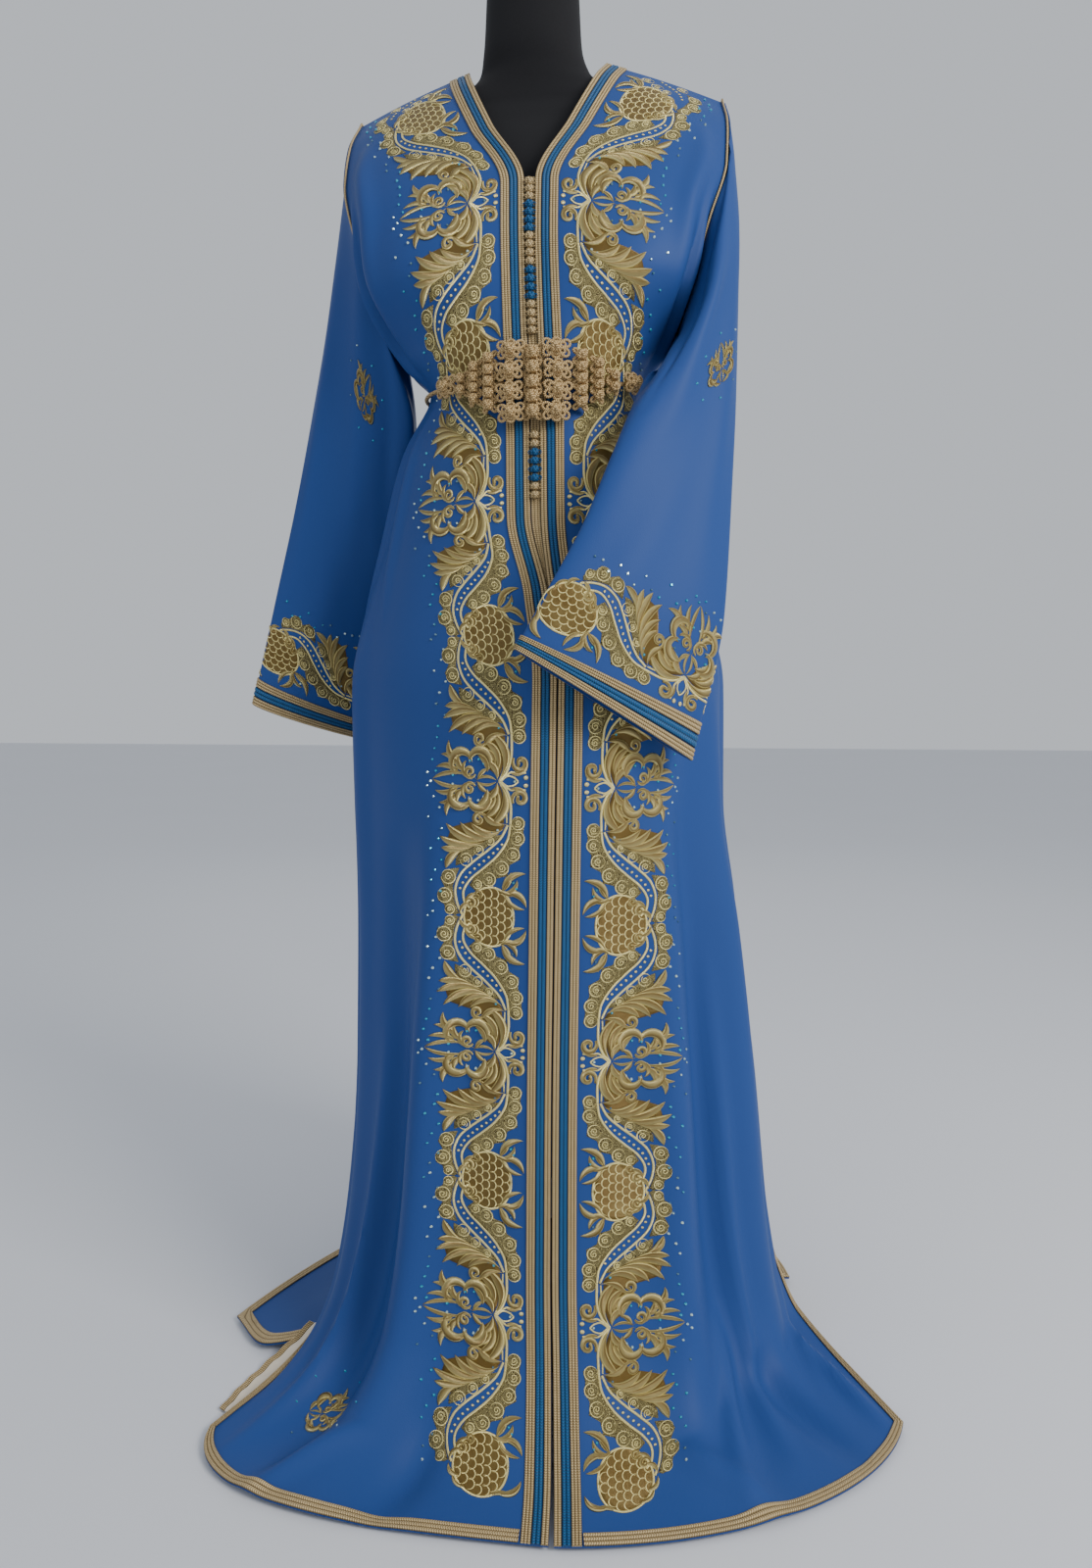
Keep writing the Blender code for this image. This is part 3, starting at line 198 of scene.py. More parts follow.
# The form's torso and neck: its middle, half_width, then how far it reaches to the front and the back.
Torso = namedtuple("Torso", "z mid_x half_width front back")
TORSO = [
    Torso(0.800, 0.003, 0.128, 0.098, 0.088), Torso(0.806, 0.003, 0.140, 0.110, 0.098),
    Torso(0.860, 0.003, 0.152, 0.120, 0.108), Torso(0.930, 0.003, 0.150, 0.122, 0.104),
    Torso(1.020, 0.003, 0.131, 0.118, 0.084), Torso(1.105, 0.003, 0.114, 0.114, 0.074),
    Torso(1.170, 0.003, 0.126, 0.112, 0.078), Torso(1.245, 0.003, 0.146, 0.112, 0.086),
    Torso(1.315, 0.003, 0.164, 0.088, 0.090), Torso(1.380, 0.003, 0.180, 0.060, 0.082),
    Torso(1.418, 0.001, 0.172, 0.042, 0.070), Torso(1.440, 0.001, 0.138, 0.035, 0.060),
    Torso(1.456, -0.002, 0.094, 0.034, 0.055), Torso(1.476, -0.002, 0.065, 0.036, 0.052),
    Torso(1.505, -0.004, 0.057, 0.042, 0.050), Torso(1.570, -0.004, 0.053, 0.044, 0.048),
]

# Buttons: one line for each run of one colour, from the top
Run = namedtuple("Run", "name colour top count")
BUTTON_RUNS = [
    Run("buttons_1", "gold", 1.312, 3), Run("buttons_2", "blue", 1.285, 4),
    Run("buttons_3", "gold", 1.249, 4), Run("buttons_4", "blue", 1.213, 4),
    Run("buttons_5", "gold", 1.177, 4), Run("buttons_6", "gold", 1.041, 2),
    Run("buttons_7", "blue", 1.023, 4), Run("buttons_8", "gold", 0.987, 2),
]

# Belt plaque: across is measured from its middle, up from the waist line.
Knot = namedtuple("Knot", "name across up radius")
BOTH_WAYS = (("left", 1.0), ("right", -1.0))
KNOTS = [Knot("knot_%s_%d" % (side, k), way * across, up, 0.0103)
         for side, way in BOTH_WAYS
         for k, (across, up) in enumerate(((0.0210, 0.0318), (0.0225, 0.0106),
                                           (0.0225, -0.0106), (0.0210, -0.0318)), 1)]
KNOTS += [Knot("knot_end_left", 0.0900, 0.0020, 0.0112), Knot("knot_end_right", -0.0900, 0.0000, 0.0112)]
Beads = namedtuple("Beads", "name across height count radius")
BEAD_COLUMNS = [Beads("beads_middle", 0.000, 0.074, 5, 0.0068)]
BEAD_COLUMNS += [Beads("beads_%s_%d" % (side, k), way * across, height, count, radius)
                 for side, way in BOTH_WAYS
                 for k, (across, height, count, radius) in enumerate((
                     (0.043, 0.060, 5, 0.0058), (0.058, 0.044, 4, 0.0056), (0.072, 0.024, 2, 0.0056)), 1)]

# Creases finer than the folds: the same columns
CREASES = {
    "front_left": [
        Fold(0.62, 0.57, 12.0, 17.6, 0.0135, 0.030), Fold(0.86, 0.80, 11.0, 17.5, 0.0135, 0.030),
        Fold(0.52, 0.40, 14.6, 18.0, 0.0158, 0.035), Fold(0.60, 0.74, 15.4, 18.0, -0.0135, 0.040),
        Fold(0.30, 0.46, 16.2, 18.2, 0.0112, 0.045), Fold(0.80, 0.93, 15.6, 18.0, 0.0158, 0.035),
        Fold(0.66, 0.62, 6.1, 9.4, 0.0066, 0.035), Fold(0.84, 0.84, 5.8, 10.5, 0.0083, 0.035),
        Fold(0.90, 0.84, 2.4, 5.8, 0.0083, 0.040), Fold(0.82, 0.78, 3.2, 5.9, -0.0066, 0.035),
    ],
    "front_right": [
        Fold(0.40, 0.60, 11.5, 18.0, -0.009, 0.030), Fold(0.60, 0.80, 12.5, 18.0, 0.0135, 0.035),
        Fold(0.86, 0.93, 9.0, 17.0, 0.0135, 0.030), Fold(0.93, 0.96, 12.0, 17.4, -0.0112, 0.025),
        Fold(0.26, 0.30, 15.6, 18.2, -0.0112, 0.045), Fold(0.44, 0.62, 16.2, 18.2, 0.0135, 0.040),
        Fold(0.66, 0.62, 6.1, 9.6, 0.0066, 0.035), Fold(0.82, 0.84, 5.8, 10.2, 0.0083, 0.035),
        Fold(0.90, 0.84, 2.4, 5.8, 0.0099, 0.040), Fold(0.82, 0.76, 3.2, 5.9, -0.0066, 0.035),
    ],
    "back": [
        Fold(-0.75, -0.74, 7.4, 17.6, -0.0075, 0.030), Fold(-0.34, -0.36, 9.2, 17.8, 0.009, 0.030),
        Fold(0.03, 0.05, 8.4, 17.9, 0.009, 0.030), Fold(0.22, 0.20, 10.0, 17.4, -0.0075, 0.028),
        Fold(0.41, 0.43, 8.8, 17.7, 0.009, 0.030), Fold(0.76, 0.78, 9.4, 17.2, 0.0075, 0.028),
        Fold(-0.16, -0.12, 6.1, 9.8, 0.006, 0.030), Fold(0.14, 0.12, 6.1, 9.2, 0.006, 0.030),
        Fold(-0.52, -0.46, 6.1, 10.0, 0.006, 0.030), Fold(0.58, 0.52, 6.1, 9.6, 0.006, 0.030),
        Fold(-0.12, -0.30, 1.2, 5.6, 0.006, 0.040), Fold(0.16, 0.34, 1.4, 5.8, 0.006, 0.040),
        Fold(-0.70, -0.62, 2.4, 5.8, 0.0075, 0.040), Fold(0.70, 0.62, 2.2, 5.8, 0.0075, 0.040),
    ],
}

# Sleeve creases. turn0, turn1: place round the sleeve at the crease's two ends; t0, t1: sections.
Tuck = namedtuple("Tuck", "turn0 turn1 t0 t1 height width")
TUCKS = {
    "left": [
        Tuck(0.20, 0.30, 0.4, 4.2, 0.006, 0.040), Tuck(0.30, 0.40, 0.8, 3.6, -0.006, 0.040),
        Tuck(0.12, 0.16, 1.2, 6.4, 0.004, 0.040), Tuck(0.40, 0.45, 0.5, 2.8, 0.006, 0.035),
        Tuck(0.24, 0.34, 4.4, 6.9, 0.003, 0.050), Tuck(0.60, 0.66, 0.8, 4.6, 0.006, 0.045),
        Tuck(0.80, 0.74, 1.2, 5.6, 0.005, 0.045), Tuck(0.70, 0.86, 3.6, 6.6, -0.004, 0.040),
    ],
    "right": [
        Tuck(0.22, 0.28, 0.4, 5.2, 0.006, 0.040), Tuck(0.32, 0.38, 0.8, 4.4, -0.006, 0.040),
        Tuck(0.10, 0.12, 1.2, 6.2, 0.004, 0.035), Tuck(0.42, 0.46, 0.5, 2.6, 0.006, 0.035),
        Tuck(0.26, 0.18, 4.6, 6.8, 0.003, 0.050), Tuck(0.62, 0.68, 0.8, 4.8, 0.006, 0.045),
        Tuck(0.82, 0.76, 1.2, 5.8, 0.005, 0.045), Tuck(0.70, 0.84, 3.4, 6.4, -0.004, 0.040),
    ],
}


# ------------------------------------------------------------------ smooth surfaces through the tables
def slope(before, after):
    """The slope where two stretches meet: none at a turning point, so that the curve never overshoots."""
    same_way = before * after > 0
    total = np.where(same_way, before + after, 1.0)
    return np.where(same_way, 2 * before * after / total, 0.0)


def smooth(rows, t):
    """The table's lines at the places t, on a smooth curve through its lines: each column is an array."""
    table = np.array(rows, float)
    last = len(table) - 1
    t = np.clip(t, 0.0, last)
    i = np.minimum(t.astype(int), last - 1)
    f = (t - i)[:, None]
    step = table[i + 1] - table[i]
    before = np.where((i > 0)[:, None], table[i] - table[np.maximum(i - 1, 0)], step)
    after = np.where((i + 2 <= last)[:, None], table[np.minimum(i + 2, last)] - table[i + 1], step)
    m0, m1 = slope(before, step), slope(step, after)
    out = table[i] + f * m0 + f ** 2 * (3 * step - 2 * m0 - m1) + f ** 3 * (m0 + m1 - 2 * step)
    return type(rows[0])(*out.T)


def unit(v):
    """Vectors of length one."""
    return v / np.maximum(np.linalg.norm(v, axis=-1, keepdims=True), 1e-12)


def points(x, y, z):
    """An array of points from arrays or numbers for each way."""
    return np.stack(np.broadcast_arrays(x, y, z), -1).astype(float)


def across(inner, outer, share, full, bow):
    """Points of sections: from the inner edge (share 0) to the outer edge (share 1)."""
    angle = 0.5 * np.pi * share
    curved = np.minimum(full, 1.0)
    run = curved * np.sin(angle) + (1 - curved) * share
    turn = curved * np.maximum(1 - np.cos(angle), 0.0) ** np.maximum(full, 1.0) + (1 - curved) * share
    swell = bow * np.sin(np.pi * np.minimum(share, 1.0))
    way = np.where(inner[1] < outer[1], -1.0, 1.0)
    return points(inner[0] + (outer[0] - inner[0]) * run + 0.5 * swell * np.sign(outer[0]),
                  inner[1] + (outer[1] - inner[1]) * turn + way * np.abs(swell),
                  inner[2] + (outer[2] - inner[2]) * share)


def bare_front(side, s, t):
    """A front without its folds: s from the front edge to the outer edge."""
    row = smooth(FRONT, t)
    way = 1.0 if side == "left" else -1.0
    inner = (row.mid_x + way * row.open, row.in_y, row.in_z)
    if side == "left":
        return across(inner, (row.left_x, row.left_y, row.left_z), s, row.left_full, row.bow)
    return across(inner, (row.right_x, row.right_y, row.right_z), s, row.right_full, row.bow)


def neck_edge(angle):
    """The back neckline: angle in radians from the middle of the back, above zero to the wearer's left."""
    return points(NECK_POINT[0] * np.sin(angle),
                  NECK_POINT[1] + (BACK[0].mid_y - NECK_POINT[1]) * np.cos(angle),
                  BACK[0].mid_z + (NECK_POINT[2] - BACK[0].mid_z) * (1 - np.cos(angle)))


def bare_back(s, t):
    """The back without its folds: s from -1 at the right edge to 1 at the left."""
    row = smooth(BACK, t)
    share, way = np.abs(s), np.where(s >= 0, 1.0, -1.0)
    inner = (0.0 * row.mid_y, row.mid_y, row.mid_z)
    left = across(inner, (row.left_x, row.left_y, row.left_z), share, row.left_full, row.bow)
    right = across(inner, (row.right_x, row.right_y, row.right_z), share, row.right_full, row.bow)
    point = np.where((s >= 0)[:, None], left, right)
    # the first section follows the neckline, then the shoulder seam; it fades into the next one
    neck = neck_edge(way * 0.5 * np.pi * np.minimum(share / NECK_SHARE, 1.0))
    f = np.maximum(share - NECK_SHARE, 0.0) / (1 - NECK_SHARE)
    start = points(way * NECK_POINT[0], NECK_POINT[1], NECK_POINT[2])
    tip = points(way * BACK[0].left_x, BACK[0].left_y, BACK[0].left_z)
    seam = np.where((share < NECK_SHARE)[:, None], neck, start + (tip - start) * f[:, None])
    fade = 1 - np.maximum(1 - t, 0.0) ** 1.6
    return seam + (point - seam) * fade[:, None]


class Panel:
    """A cloth panel as a smooth surface: s goes across it, t down its sections."""

    def __init__(self, name):
        self.name = name
        self.low = -1.0 if name == "back" else 0.0
        self.way = -1.0 if name == "front_left" else 1.0

    def bare(self, s, t):
        if self.name == "back":
            return bare_back(s, t)
        return bare_front(self.name.split("_")[1], s, t)

    def outward(self, s, t):
        """Square to the cloth; over the shoulder it turns upwards."""
        step, drop = 0.004, 0.05
        du = self.bare(np.minimum(s + step, 1.0), t) - self.bare(np.maximum(s - step, self.low), t)
        dt = self.bare(s, np.minimum(t + drop, HEM)) - self.bare(s, np.maximum(t - drop, 0.0))
        n = unit(np.cross(du, dt)) * self.way
        share = np.maximum(1 - t / SHOULDER_ROLL, 0.0)[:, None] ** 2
        aside = np.where(np.abs(s) > 0.3, 0.33 * np.sign(n[:, 0]), 0.0)
        return unit(n * (1 - share) + points(aside, 0.0, 0.94) * share)

    def relief(self, s, t):
        """How far the folds and creases stand out."""
        total = np.zeros(len(s))
        for fold in FOLDS[self.name] + CREASES[self.name]:
            f = np.clip((t - fold.t0) / (fold.t1 - fold.t0), 0.0, 1.0)
            rise = np.sin(np.pi * f ** 0.8) ** 1.2
            middle = fold.s0 + (fold.s1 - fold.s0) * f
            total += fold.height * np.nan_to_num(rise) * np.exp(-((s - middle) / fold.width) ** 2)
        return total

    def place(self, s, t, lift=0.0):
        """Points on the folded cloth, or a lift in metres off it."""
        s, t, lift = np.broadcast_arrays(np.asarray(s, float), t, lift)
        shape = s.shape
        s, t, lift = s.ravel(), t.ravel().astype(float), lift.ravel()
        out = self.bare(s, t) + self.outward(s, t) * (self.relief(s, t) + lift)[:, None]
        return out.reshape(shape + (3,))

    def share_at(self, t, distance):
        """How far across a section is, that many metres from its inner (or, below zero, outer) edge."""
        t = np.asarray(t, float)
        step = 0.02
        near, far = (0.0, step) if distance >= 0 else (1.0 - step, 1.0)
        run = self.bare(np.full(t.shape, far), t) - self.bare(np.full(t.shape, near), t)
        return (0.0 if distance >= 0 else 1.0) + distance * step / np.linalg.norm(run, axis=-1)


class Tube:
    """A sleeve as a smooth flattened tube: turn goes round it, t from the armhole to the cuff."""

    def __init__(self, side):
        self.side = side
        self.way = 1.0 if side == "left" else -1.0

    def armhole(self, turn):
        """The seam that the sleeve starts from, on the edges of the front and the back."""
        turn = np.mod(turn, 1.0)
        front = bare_front(self.side, np.ones(len(turn)), UNDERARM * np.minimum(turn, 0.5) / 0.5)
        back = bare_back(np.full(len(turn), self.way), UNDERARM * (1 - np.maximum(turn, 0.5)) / 0.5)
        edge = np.where((turn <= 0.5)[:, None], front, back)
        return edge + np.array([self.way * 0.0022, 0.0, 0.0])

    def relief(self, turn, t):
        """How far the creases stand out."""
        total = np.zeros(len(turn))
        for tuck in TUCKS[self.side]:
            f = np.clip((t - tuck.t0) / (tuck.t1 - tuck.t0), 0.0, 1.0)
            middle = tuck.turn0 + (tuck.turn1 - tuck.turn0) * f
            gap = np.mod(turn - middle + 0.5, 1.0) - 0.5
            total += tuck.height * np.sin(np.pi * f) ** 1.2 * np.exp(-(gap / tuck.width) ** 2)
        return total

    def bare(self, turn, t):
        row = smooth(SLEEVES[self.side], t)
        out, under = points(row.out_x, row.out_y, row.out_z), points(row.in_x, row.in_y, row.in_z)
        middle, half = (out + under) / 2, (out - under) / 2
        face = np.radians(row.face)
        look = points(np.sin(face), -np.cos(face), 0.0)
        arm = unit(half)
        look = unit(look - arm * (look * arm).sum(-1, keepdims=True))
        reach, rise = np.cos(2 * np.pi * turn)[:, None], np.sin(2 * np.pi * turn)[:, None]
        point = middle + half * reach + look * (row.thick[:, None] / 2) * rise
        join = np.maximum(0.0, 1.0 - t / 1.6)[:, None] ** 1.5
        first = SLEEVES[self.side][0]
        o0, u0 = np.array(first[:3]), np.array(first[3:6])
        ring = (o0 + u0) / 2 + (o0 - u0) / 2 * reach + np.array([0, -1.0, 0]) * (first.thick / 2) * rise
        return point + (self.armhole(turn) - ring) * join

    def outward(self, turn, t):
        """Square to two short steps along the cloth."""
        step, drop = 0.012, 0.06
        around = self.bare(turn + step, t) - self.bare(turn - step, t)
        down = self.bare(turn, np.minimum(t + drop, CUFF)) - self.bare(turn, np.maximum(t - drop, 0.0))
        return unit(np.cross(around, down)) * self.way

    def place(self, turn, t, lift=0.0):
        """Points on the creased cloth, or a lift in metres off it."""
        turn, t, lift = np.broadcast_arrays(np.asarray(turn, float), t, lift)
        shape = turn.shape
        turn, t, lift = turn.ravel(), t.ravel().astype(float), lift.ravel()
        out = self.bare(turn, t) + self.outward(turn, t) * (self.relief(turn, t) + lift)[:, None]
        return out.reshape(shape + (3,))


class CuffBand:
    """The part of a sleeve above its cuff braids: s goes up the sleeve, t once round it."""

    SECTIONS = 3.0

    def __init__(self, tube, start):
        self.tube, self.start = tube, start

    def place(self, s, t, lift=0.0):
        return self.tube.place(np.mod(t, 1.0), self.start - self.SECTIONS * np.asarray(s), lift)


class Chart:
    """Finds the places on a surface that lie given millimetres across and along it."""

    def __init__(self, surface, reach, last, track=0.0, start=0.0, axes=None, rows=361, cols=91):
        self.surface, self.last, self.start, self.axes = surface, last, start, axes
        self.t = np.linspace(0.0, last, rows)
        s = np.linspace(0.0, 1.0, cols)
        net = surface.place(*np.meshgrid(s, self.t))
        wide = np.linalg.norm(np.diff(net, axis=1), axis=-1)
        wide = np.hstack([np.zeros((rows, 1)), np.cumsum(wide, axis=1)]) / MM
        self.reach = np.linspace(0.0, reach, 121)
        self.shares = np.array([np.interp(self.reach, line, s) for line in wide])
        line = surface.place(np.array([np.interp(track, row, s) for row in wide]), self.t)
        self.along = np.r_[0.0, np.cumsum(np.linalg.norm(np.diff(line, axis=0), axis=-1))] / MM
        if axes:
            self.axes = np.array([2 * axes[0] - axes[1], *axes, 2 * axes[-1] - axes[-2]])
            self.drawn = REPEAT * np.arange(-1, len(axes) + 1)

    def ends(self, first, last):
        """The drawing's two ends, the given millimetres inside the ends of the cloth."""
        return np.interp([first, self.along[-1] - last], self.axes, self.drawn)

    def at(self, u, v):
        """The surface's own places for (u, v) in millimetres."""
        if self.axes is None:
            along = np.mod(v + self.start, self.along[-1])
        else:
            along = np.interp(v, self.drawn, self.axes)
        t = np.interp(along, self.along, self.t)
        row = np.clip(t / self.last * (len(self.t) - 1), 0, len(self.t) - 1.001)
        col = np.clip(u / self.reach[-1] * (len(self.reach) - 1), 0, len(self.reach) - 1.001)
        i, j = row.astype(int), col.astype(int)
        f, g = row - i, col - j
        share = self.shares
        s = ((share[i, j] * (1 - g) + share[i, j + 1] * g) * (1 - f)
             + (share[i + 1, j] * (1 - g) + share[i + 1, j + 1] * g) * f)
        return s, t

    def place(self, u, v, lift):
        """Points for (u, v) and a lift, all in millimetres."""
        s, t = self.at(u, v)
        return self.surface.place(s, t, lift * MM)


# ------------------------------------------------------------------ meshes
class Piece:
    """Points, faces and pattern places of one piece, gathered part by part."""

    def __init__(self):
        self.points, self.faces, self.uv, self.slots = [], [], [], []
        self.count = 0

    def add(self, spots, groups, uv, slot=0):
        """A closed part from groups of faces with three or four corners, turned to face outwards."""
        volume = 0.0
        for faces in groups:
            a, b, c, d = (spots[faces[:, k]] for k in (0, 1, 2, -1))
            volume += np.einsum("ij,ij->", a, np.cross(b, c)) + np.einsum("ij,ij->", a, np.cross(c, d))
        for faces in groups:
            faces = faces if volume > 0 else faces[:, ::-1]
            self.faces += (faces + self.count).tolist()
            self.slots.append(np.full(len(faces), slot, np.int32))
        self.points.append(spots)
        self.uv.append(uv)
        self.count += len(spots)

    def net(self, outer, inner, uv, wrap=False):
        """A wall between two nets of points; wrap joins the last column to the first."""
        rows, cols = outer.shape[:2]
        far, steps = rows * cols, cols if wrap else cols - 1
        r, c = (k.ravel() for k in np.meshgrid(np.arange(rows - 1), np.arange(steps), indexing="ij"))
        a, b = r * cols + c, r * cols + (c + 1) % cols
        faces = [np.stack([a, b, b + cols, a + cols], -1), far + np.stack([a + cols, b + cols, b, a], -1)]
        c = np.arange(steps)
        a, b = c, (c + 1) % cols
        faces.append(np.stack([b, a, far + a, far + b], -1))
        a, b = a + far - cols, b + far - cols
        faces.append(np.stack([a, b, far + b, far + a], -1))
        if not wrap:
            a = np.arange(rows - 1) * cols
            faces.append(np.stack([a, a + cols, far + a + cols, far + a], -1))
            a = a + cols - 1
            faces.append(np.stack([a + cols, a, far + a, far + a + cols], -1))
        flat = uv.reshape(-1, 2)
        self.add(np.vstack([outer.reshape(-1, 3), inner.reshape(-1, 3)]), [np.vstack(faces)],
                 np.vstack([flat, flat]))

    def loft(self, rings, uv, closed=False):
        """A skin over rings of points; its ends are filled unless it runs round."""
        count, sides = rings.shape[:2]
        i, k = np.meshgrid(np.arange(count if closed else count - 1), np.arange(sides), indexing="ij")
        i, k = i.ravel(), k.ravel()
        j, m = (i + 1) % count, (k + 1) % sides
        groups = [np.stack([i * sides + k, i * sides + m, j * sides + m, j * sides + k], -1)]
        if not closed:
            k = np.arange(1, sides - 1)
            first, last = 0 * k, 0 * k + (count - 1) * sides
            groups.append(np.vstack([np.stack([first, k + 1, k], -1),
                                     np.stack([last, last + k, last + k + 1], -1)]))
        self.add(rings.reshape(-1, 3), groups, uv.reshape(-1, 2))

    def make(self, name, materials, angle=None):
        """The object; edges sharper than the angle, in degrees, keep their own shading."""
        mesh = bpy.data.meshes.new(name)
        mesh.from_pydata(np.vstack(self.points).tolist(), [], self.faces)
        order = np.empty(len(mesh.loops), np.int32)
        mesh.loops.foreach_get("vertex_index", order)
        mesh.uv_layers.new(name="Pattern").data.foreach_set("uv", np.vstack(self.uv)[order].ravel())
        for mat in materials:
            mesh.materials.append(mat)
        mesh.polygons.foreach_set("material_index", np.concatenate(self.slots))
        mesh.shade_smooth()
        if angle is not None:
            mesh.set_sharp_from_angle(angle=math.radians(angle))
        mesh.update()
        obj = bpy.data.objects.new(name, mesh)
        bpy.context.collection.objects.link(obj)
        return obj


def work(piece, node, paint, angle=None):
    """Makes the piece that stands for a node of the frame."""
    obj = piece.make(node + "_work", [paint], angle)
    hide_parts(node)
    return obj


def lengths(line):
    """How far along a line of points each of them is."""
    return np.r_[0.0, np.cumsum(np.linalg.norm(np.diff(line, axis=0), axis=-1))]


def cord_rings(line, radius, sides, closed=False):
    """Rings round a line of points, turned as little as they can be, and their pattern places."""
    line = np.asarray(line, float)
    if closed:
        way = unit(np.roll(line, -1, 0) - np.roll(line, 1, 0))
    else:
        way = unit(np.gradient(line, axis=0))
    side = np.zeros_like(line)
    guess = np.array([0.0, 0.0, 1.0]) if abs(way[0][2]) < 0.9 else np.array([0.0, 1.0, 0.0])
    side[0] = unit(np.cross(way[0], guess))
    for i in range(1, len(line)):
        side[i] = unit(side[i - 1] - way[i] * side[i - 1].dot(way[i]))
    up = np.cross(way, side)
    a = np.linspace(0, 2 * np.pi, sides, endpoint=False)
    radius = np.full(len(line), radius, float)
    if not closed:
        radius[[0, -1]] *= 0.35
    round_line = np.cos(a)[None, :, None] * side[:, None] + np.sin(a)[None, :, None] * up[:, None]
    rings = line[:, None] + radius[:, None, None] * round_line
    far = lengths(line) / MM
    uv = np.stack(np.broadcast_arrays(far[:, None], (a / (2 * np.pi))[None, :]), -1)
    return rings, uv


# ------------------------------------------------------------------ materials
class Value:
    """A socket of a material; sums on it add its Math nodes."""

    def __init__(self, paint, socket):
        self.paint, self.socket = paint, socket

    def maths(self, operation, *others):
        return self.paint.node("ShaderNodeMath", {"operation": operation}, dict(enumerate((self,) + others)))

    def __add__(self, other):
        return self.maths("ADD", other)

    def __sub__(self, other):
        return self.maths("SUBTRACT", other)

    def __rsub__(self, other):
        return self.paint.node("ShaderNodeMath", {"operation": "SUBTRACT"}, {0: other, 1: self})

    def __mul__(self, other):
        return self.maths("MULTIPLY", other)

    __radd__ = __add__
    __rmul__ = __mul__

    def absolute(self):
        return self.maths("ABSOLUTE")

    def wave(self, period):
        """From 0 to 1 and back once in each period."""
        return (self * (2 * math.pi / period)).maths("SINE") * 0.5 + 0.5

    def part(self):
        return self.maths("FRACT")

    def rise(self, low, high):
        """0 below low, 1 above high, and a soft climb between them."""
        return self.paint.node("ShaderNodeMapRange", {"interpolation_type": "SMOOTHSTEP"},
                               {"Value": self, "From Min": low, "From Max": high})


class Paint:
    """One material and the ways to add nodes to it."""

    def __init__(self, name, **constants):
        self.mat = bpy.data.materials.new(name)
        self.mat.use_nodes = True
        self.tree = self.mat.node_tree
        self.shader = self.tree.nodes["Principled BSDF"]
        for socket, value in constants.items():
            self.shader.inputs[socket.replace("_", " ")].default_value = value

    def node(self, kind, settings=None, inputs=None, output=0):
        new = self.tree.nodes.new(kind)
        for key, value in (settings or {}).items():
            setattr(new, key, value)
        for key, value in (inputs or {}).items():
            if isinstance(value, Value):
                self.tree.links.new(value.socket, new.inputs[key])
            else:
                new.inputs[key].default_value = value
        return Value(self, new.outputs[output])

    def blend(self, share, first, second):
        """From the first colour to the second."""
        ends = [v if isinstance(v, Value) else tuple(v) + (1.0,) for v in (first, second)]
        return self.node("ShaderNodeMix", {"data_type": "RGBA"}, {0: share, 6: ends[0], 7: ends[1]}, 2)

    def pattern(self):
        """The piece's own places: both together, then millimetres along it, then across it."""
        uv = self.node("ShaderNodeUVMap", {"uv_map": "Pattern"})
        along = self.node("ShaderNodeSeparateXYZ", None, {0: uv})
        return uv, along, Value(self, along.socket.node.outputs[1])

    def noise(self, scale, detail):
        """Soft unevenness over the piece, in its own space."""
        place = self.node("ShaderNodeTexCoord", output=3)
        return self.node("ShaderNodeTexNoise", None, {"Vector": place, "Scale": scale, "Detail": detail})

    def bump(self, height, strength, distance):
        return self.node("ShaderNodeBump", None,
                         {"Height": height, "Strength": strength, "Distance": distance})

    def set(self, **sockets):
        """Joins values to the shader's sockets and gives the material."""
        for socket, value in sockets.items():
            self.tree.links.new(value.socket, self.shader.inputs[socket.replace("_", " ")])
        return self.mat


def crepe(name, rgb):
    """Crepe with a soft sheen: a fine pebbled grain and a little unevenness in its dye."""
    paint = Paint(name, Roughness=0.50, Sheen_Weight=0.03, Sheen_Roughness=0.40, Specular_IOR_Level=0.12)
    paint.shader.inputs["Sheen Tint"].default_value = (0.45, 0.68, 1.0, 1.0)
    mild = paint.noise(3.0, 3.0)
    deep = tuple(0.86 * c for c in rgb)
    grain = paint.noise(900.0, 2.0)
    long_grain = paint.noise(38.0, 3.0)
    normal = paint.bump(grain * 0.30 + long_grain * 0.70, 0.28, 0.0016)
    return paint.set(Base_Color=paint.blend(mild, deep, rgb), Normal=normal,
                     Roughness=mild * 0.12 + 0.44)


def satin_thread(name, pale, deep, period=0.9):
    """Glossy thread laid across a shape, with light and shade painted into its colour: one flank painted
    lit, the other painted in shade, and a painted highlight along the rim of the lit flank; its outline
    thread paler, partly its own colour and partly a painted highlight.
    """
    paint = Paint(name, Metallic=0.48, Specular_IOR_Level=0.7)
    _, along, over = paint.pattern()
    # edge: a painted highlight along the rim of each satin stitch's lit flank (over near 1); outline thread
    # (over 0.99) takes it all over, partly its own paler colour and partly a painted highlight
    edge = ((over - 0.5).absolute() * 2.0).rise(0.50, 0.74) * over.rise(0.03, 0.06)
    tone = paint.noise(45.0, 2.0)
    # middle: the colour of the satin's painted lit flank
    middle = tuple(0.38 * a + 0.62 * b for a, b in zip(pale, deep))
    thread = (along + over * 1.6).wave(period)
    # body: painted shade on the flank at over 0 (deep) rising to the painted lit flank (middle), with some
    # random tone
    body = paint.blend((over + tone * 0.5 - 0.25).rise(0.15, 0.85), deep, middle)
    colour = paint.blend(edge, body, pale)
    colour = paint.blend(thread * 0.18, colour, tuple(0.45 * c for c in deep))
    return paint.set(Base_Color=colour, Normal=paint.bump(thread, 0.75, 0.00040),
                     Roughness=edge * -0.06 + 0.32)


def filigree_thread(name, pale, deep):
    """Fine loops of couched thread over the cloth."""
    paint = Paint(name, Metallic=0.50, Specular_IOR_Level=0.5)
    uv, _, _ = paint.pattern()
    cells = paint.node("ShaderNodeTexVoronoi", {"feature": "F1"}, {"Vector": uv, "Scale": 0.42})
    rings = cells.wave(0.26)
    colour = paint.blend(rings.rise(0.40, 0.85), deep, pale)
    return paint.set(Base_Color=colour, Normal=paint.bump(rings, 0.8, 0.0006),
                     Roughness=rings * -0.1 + 0.55)


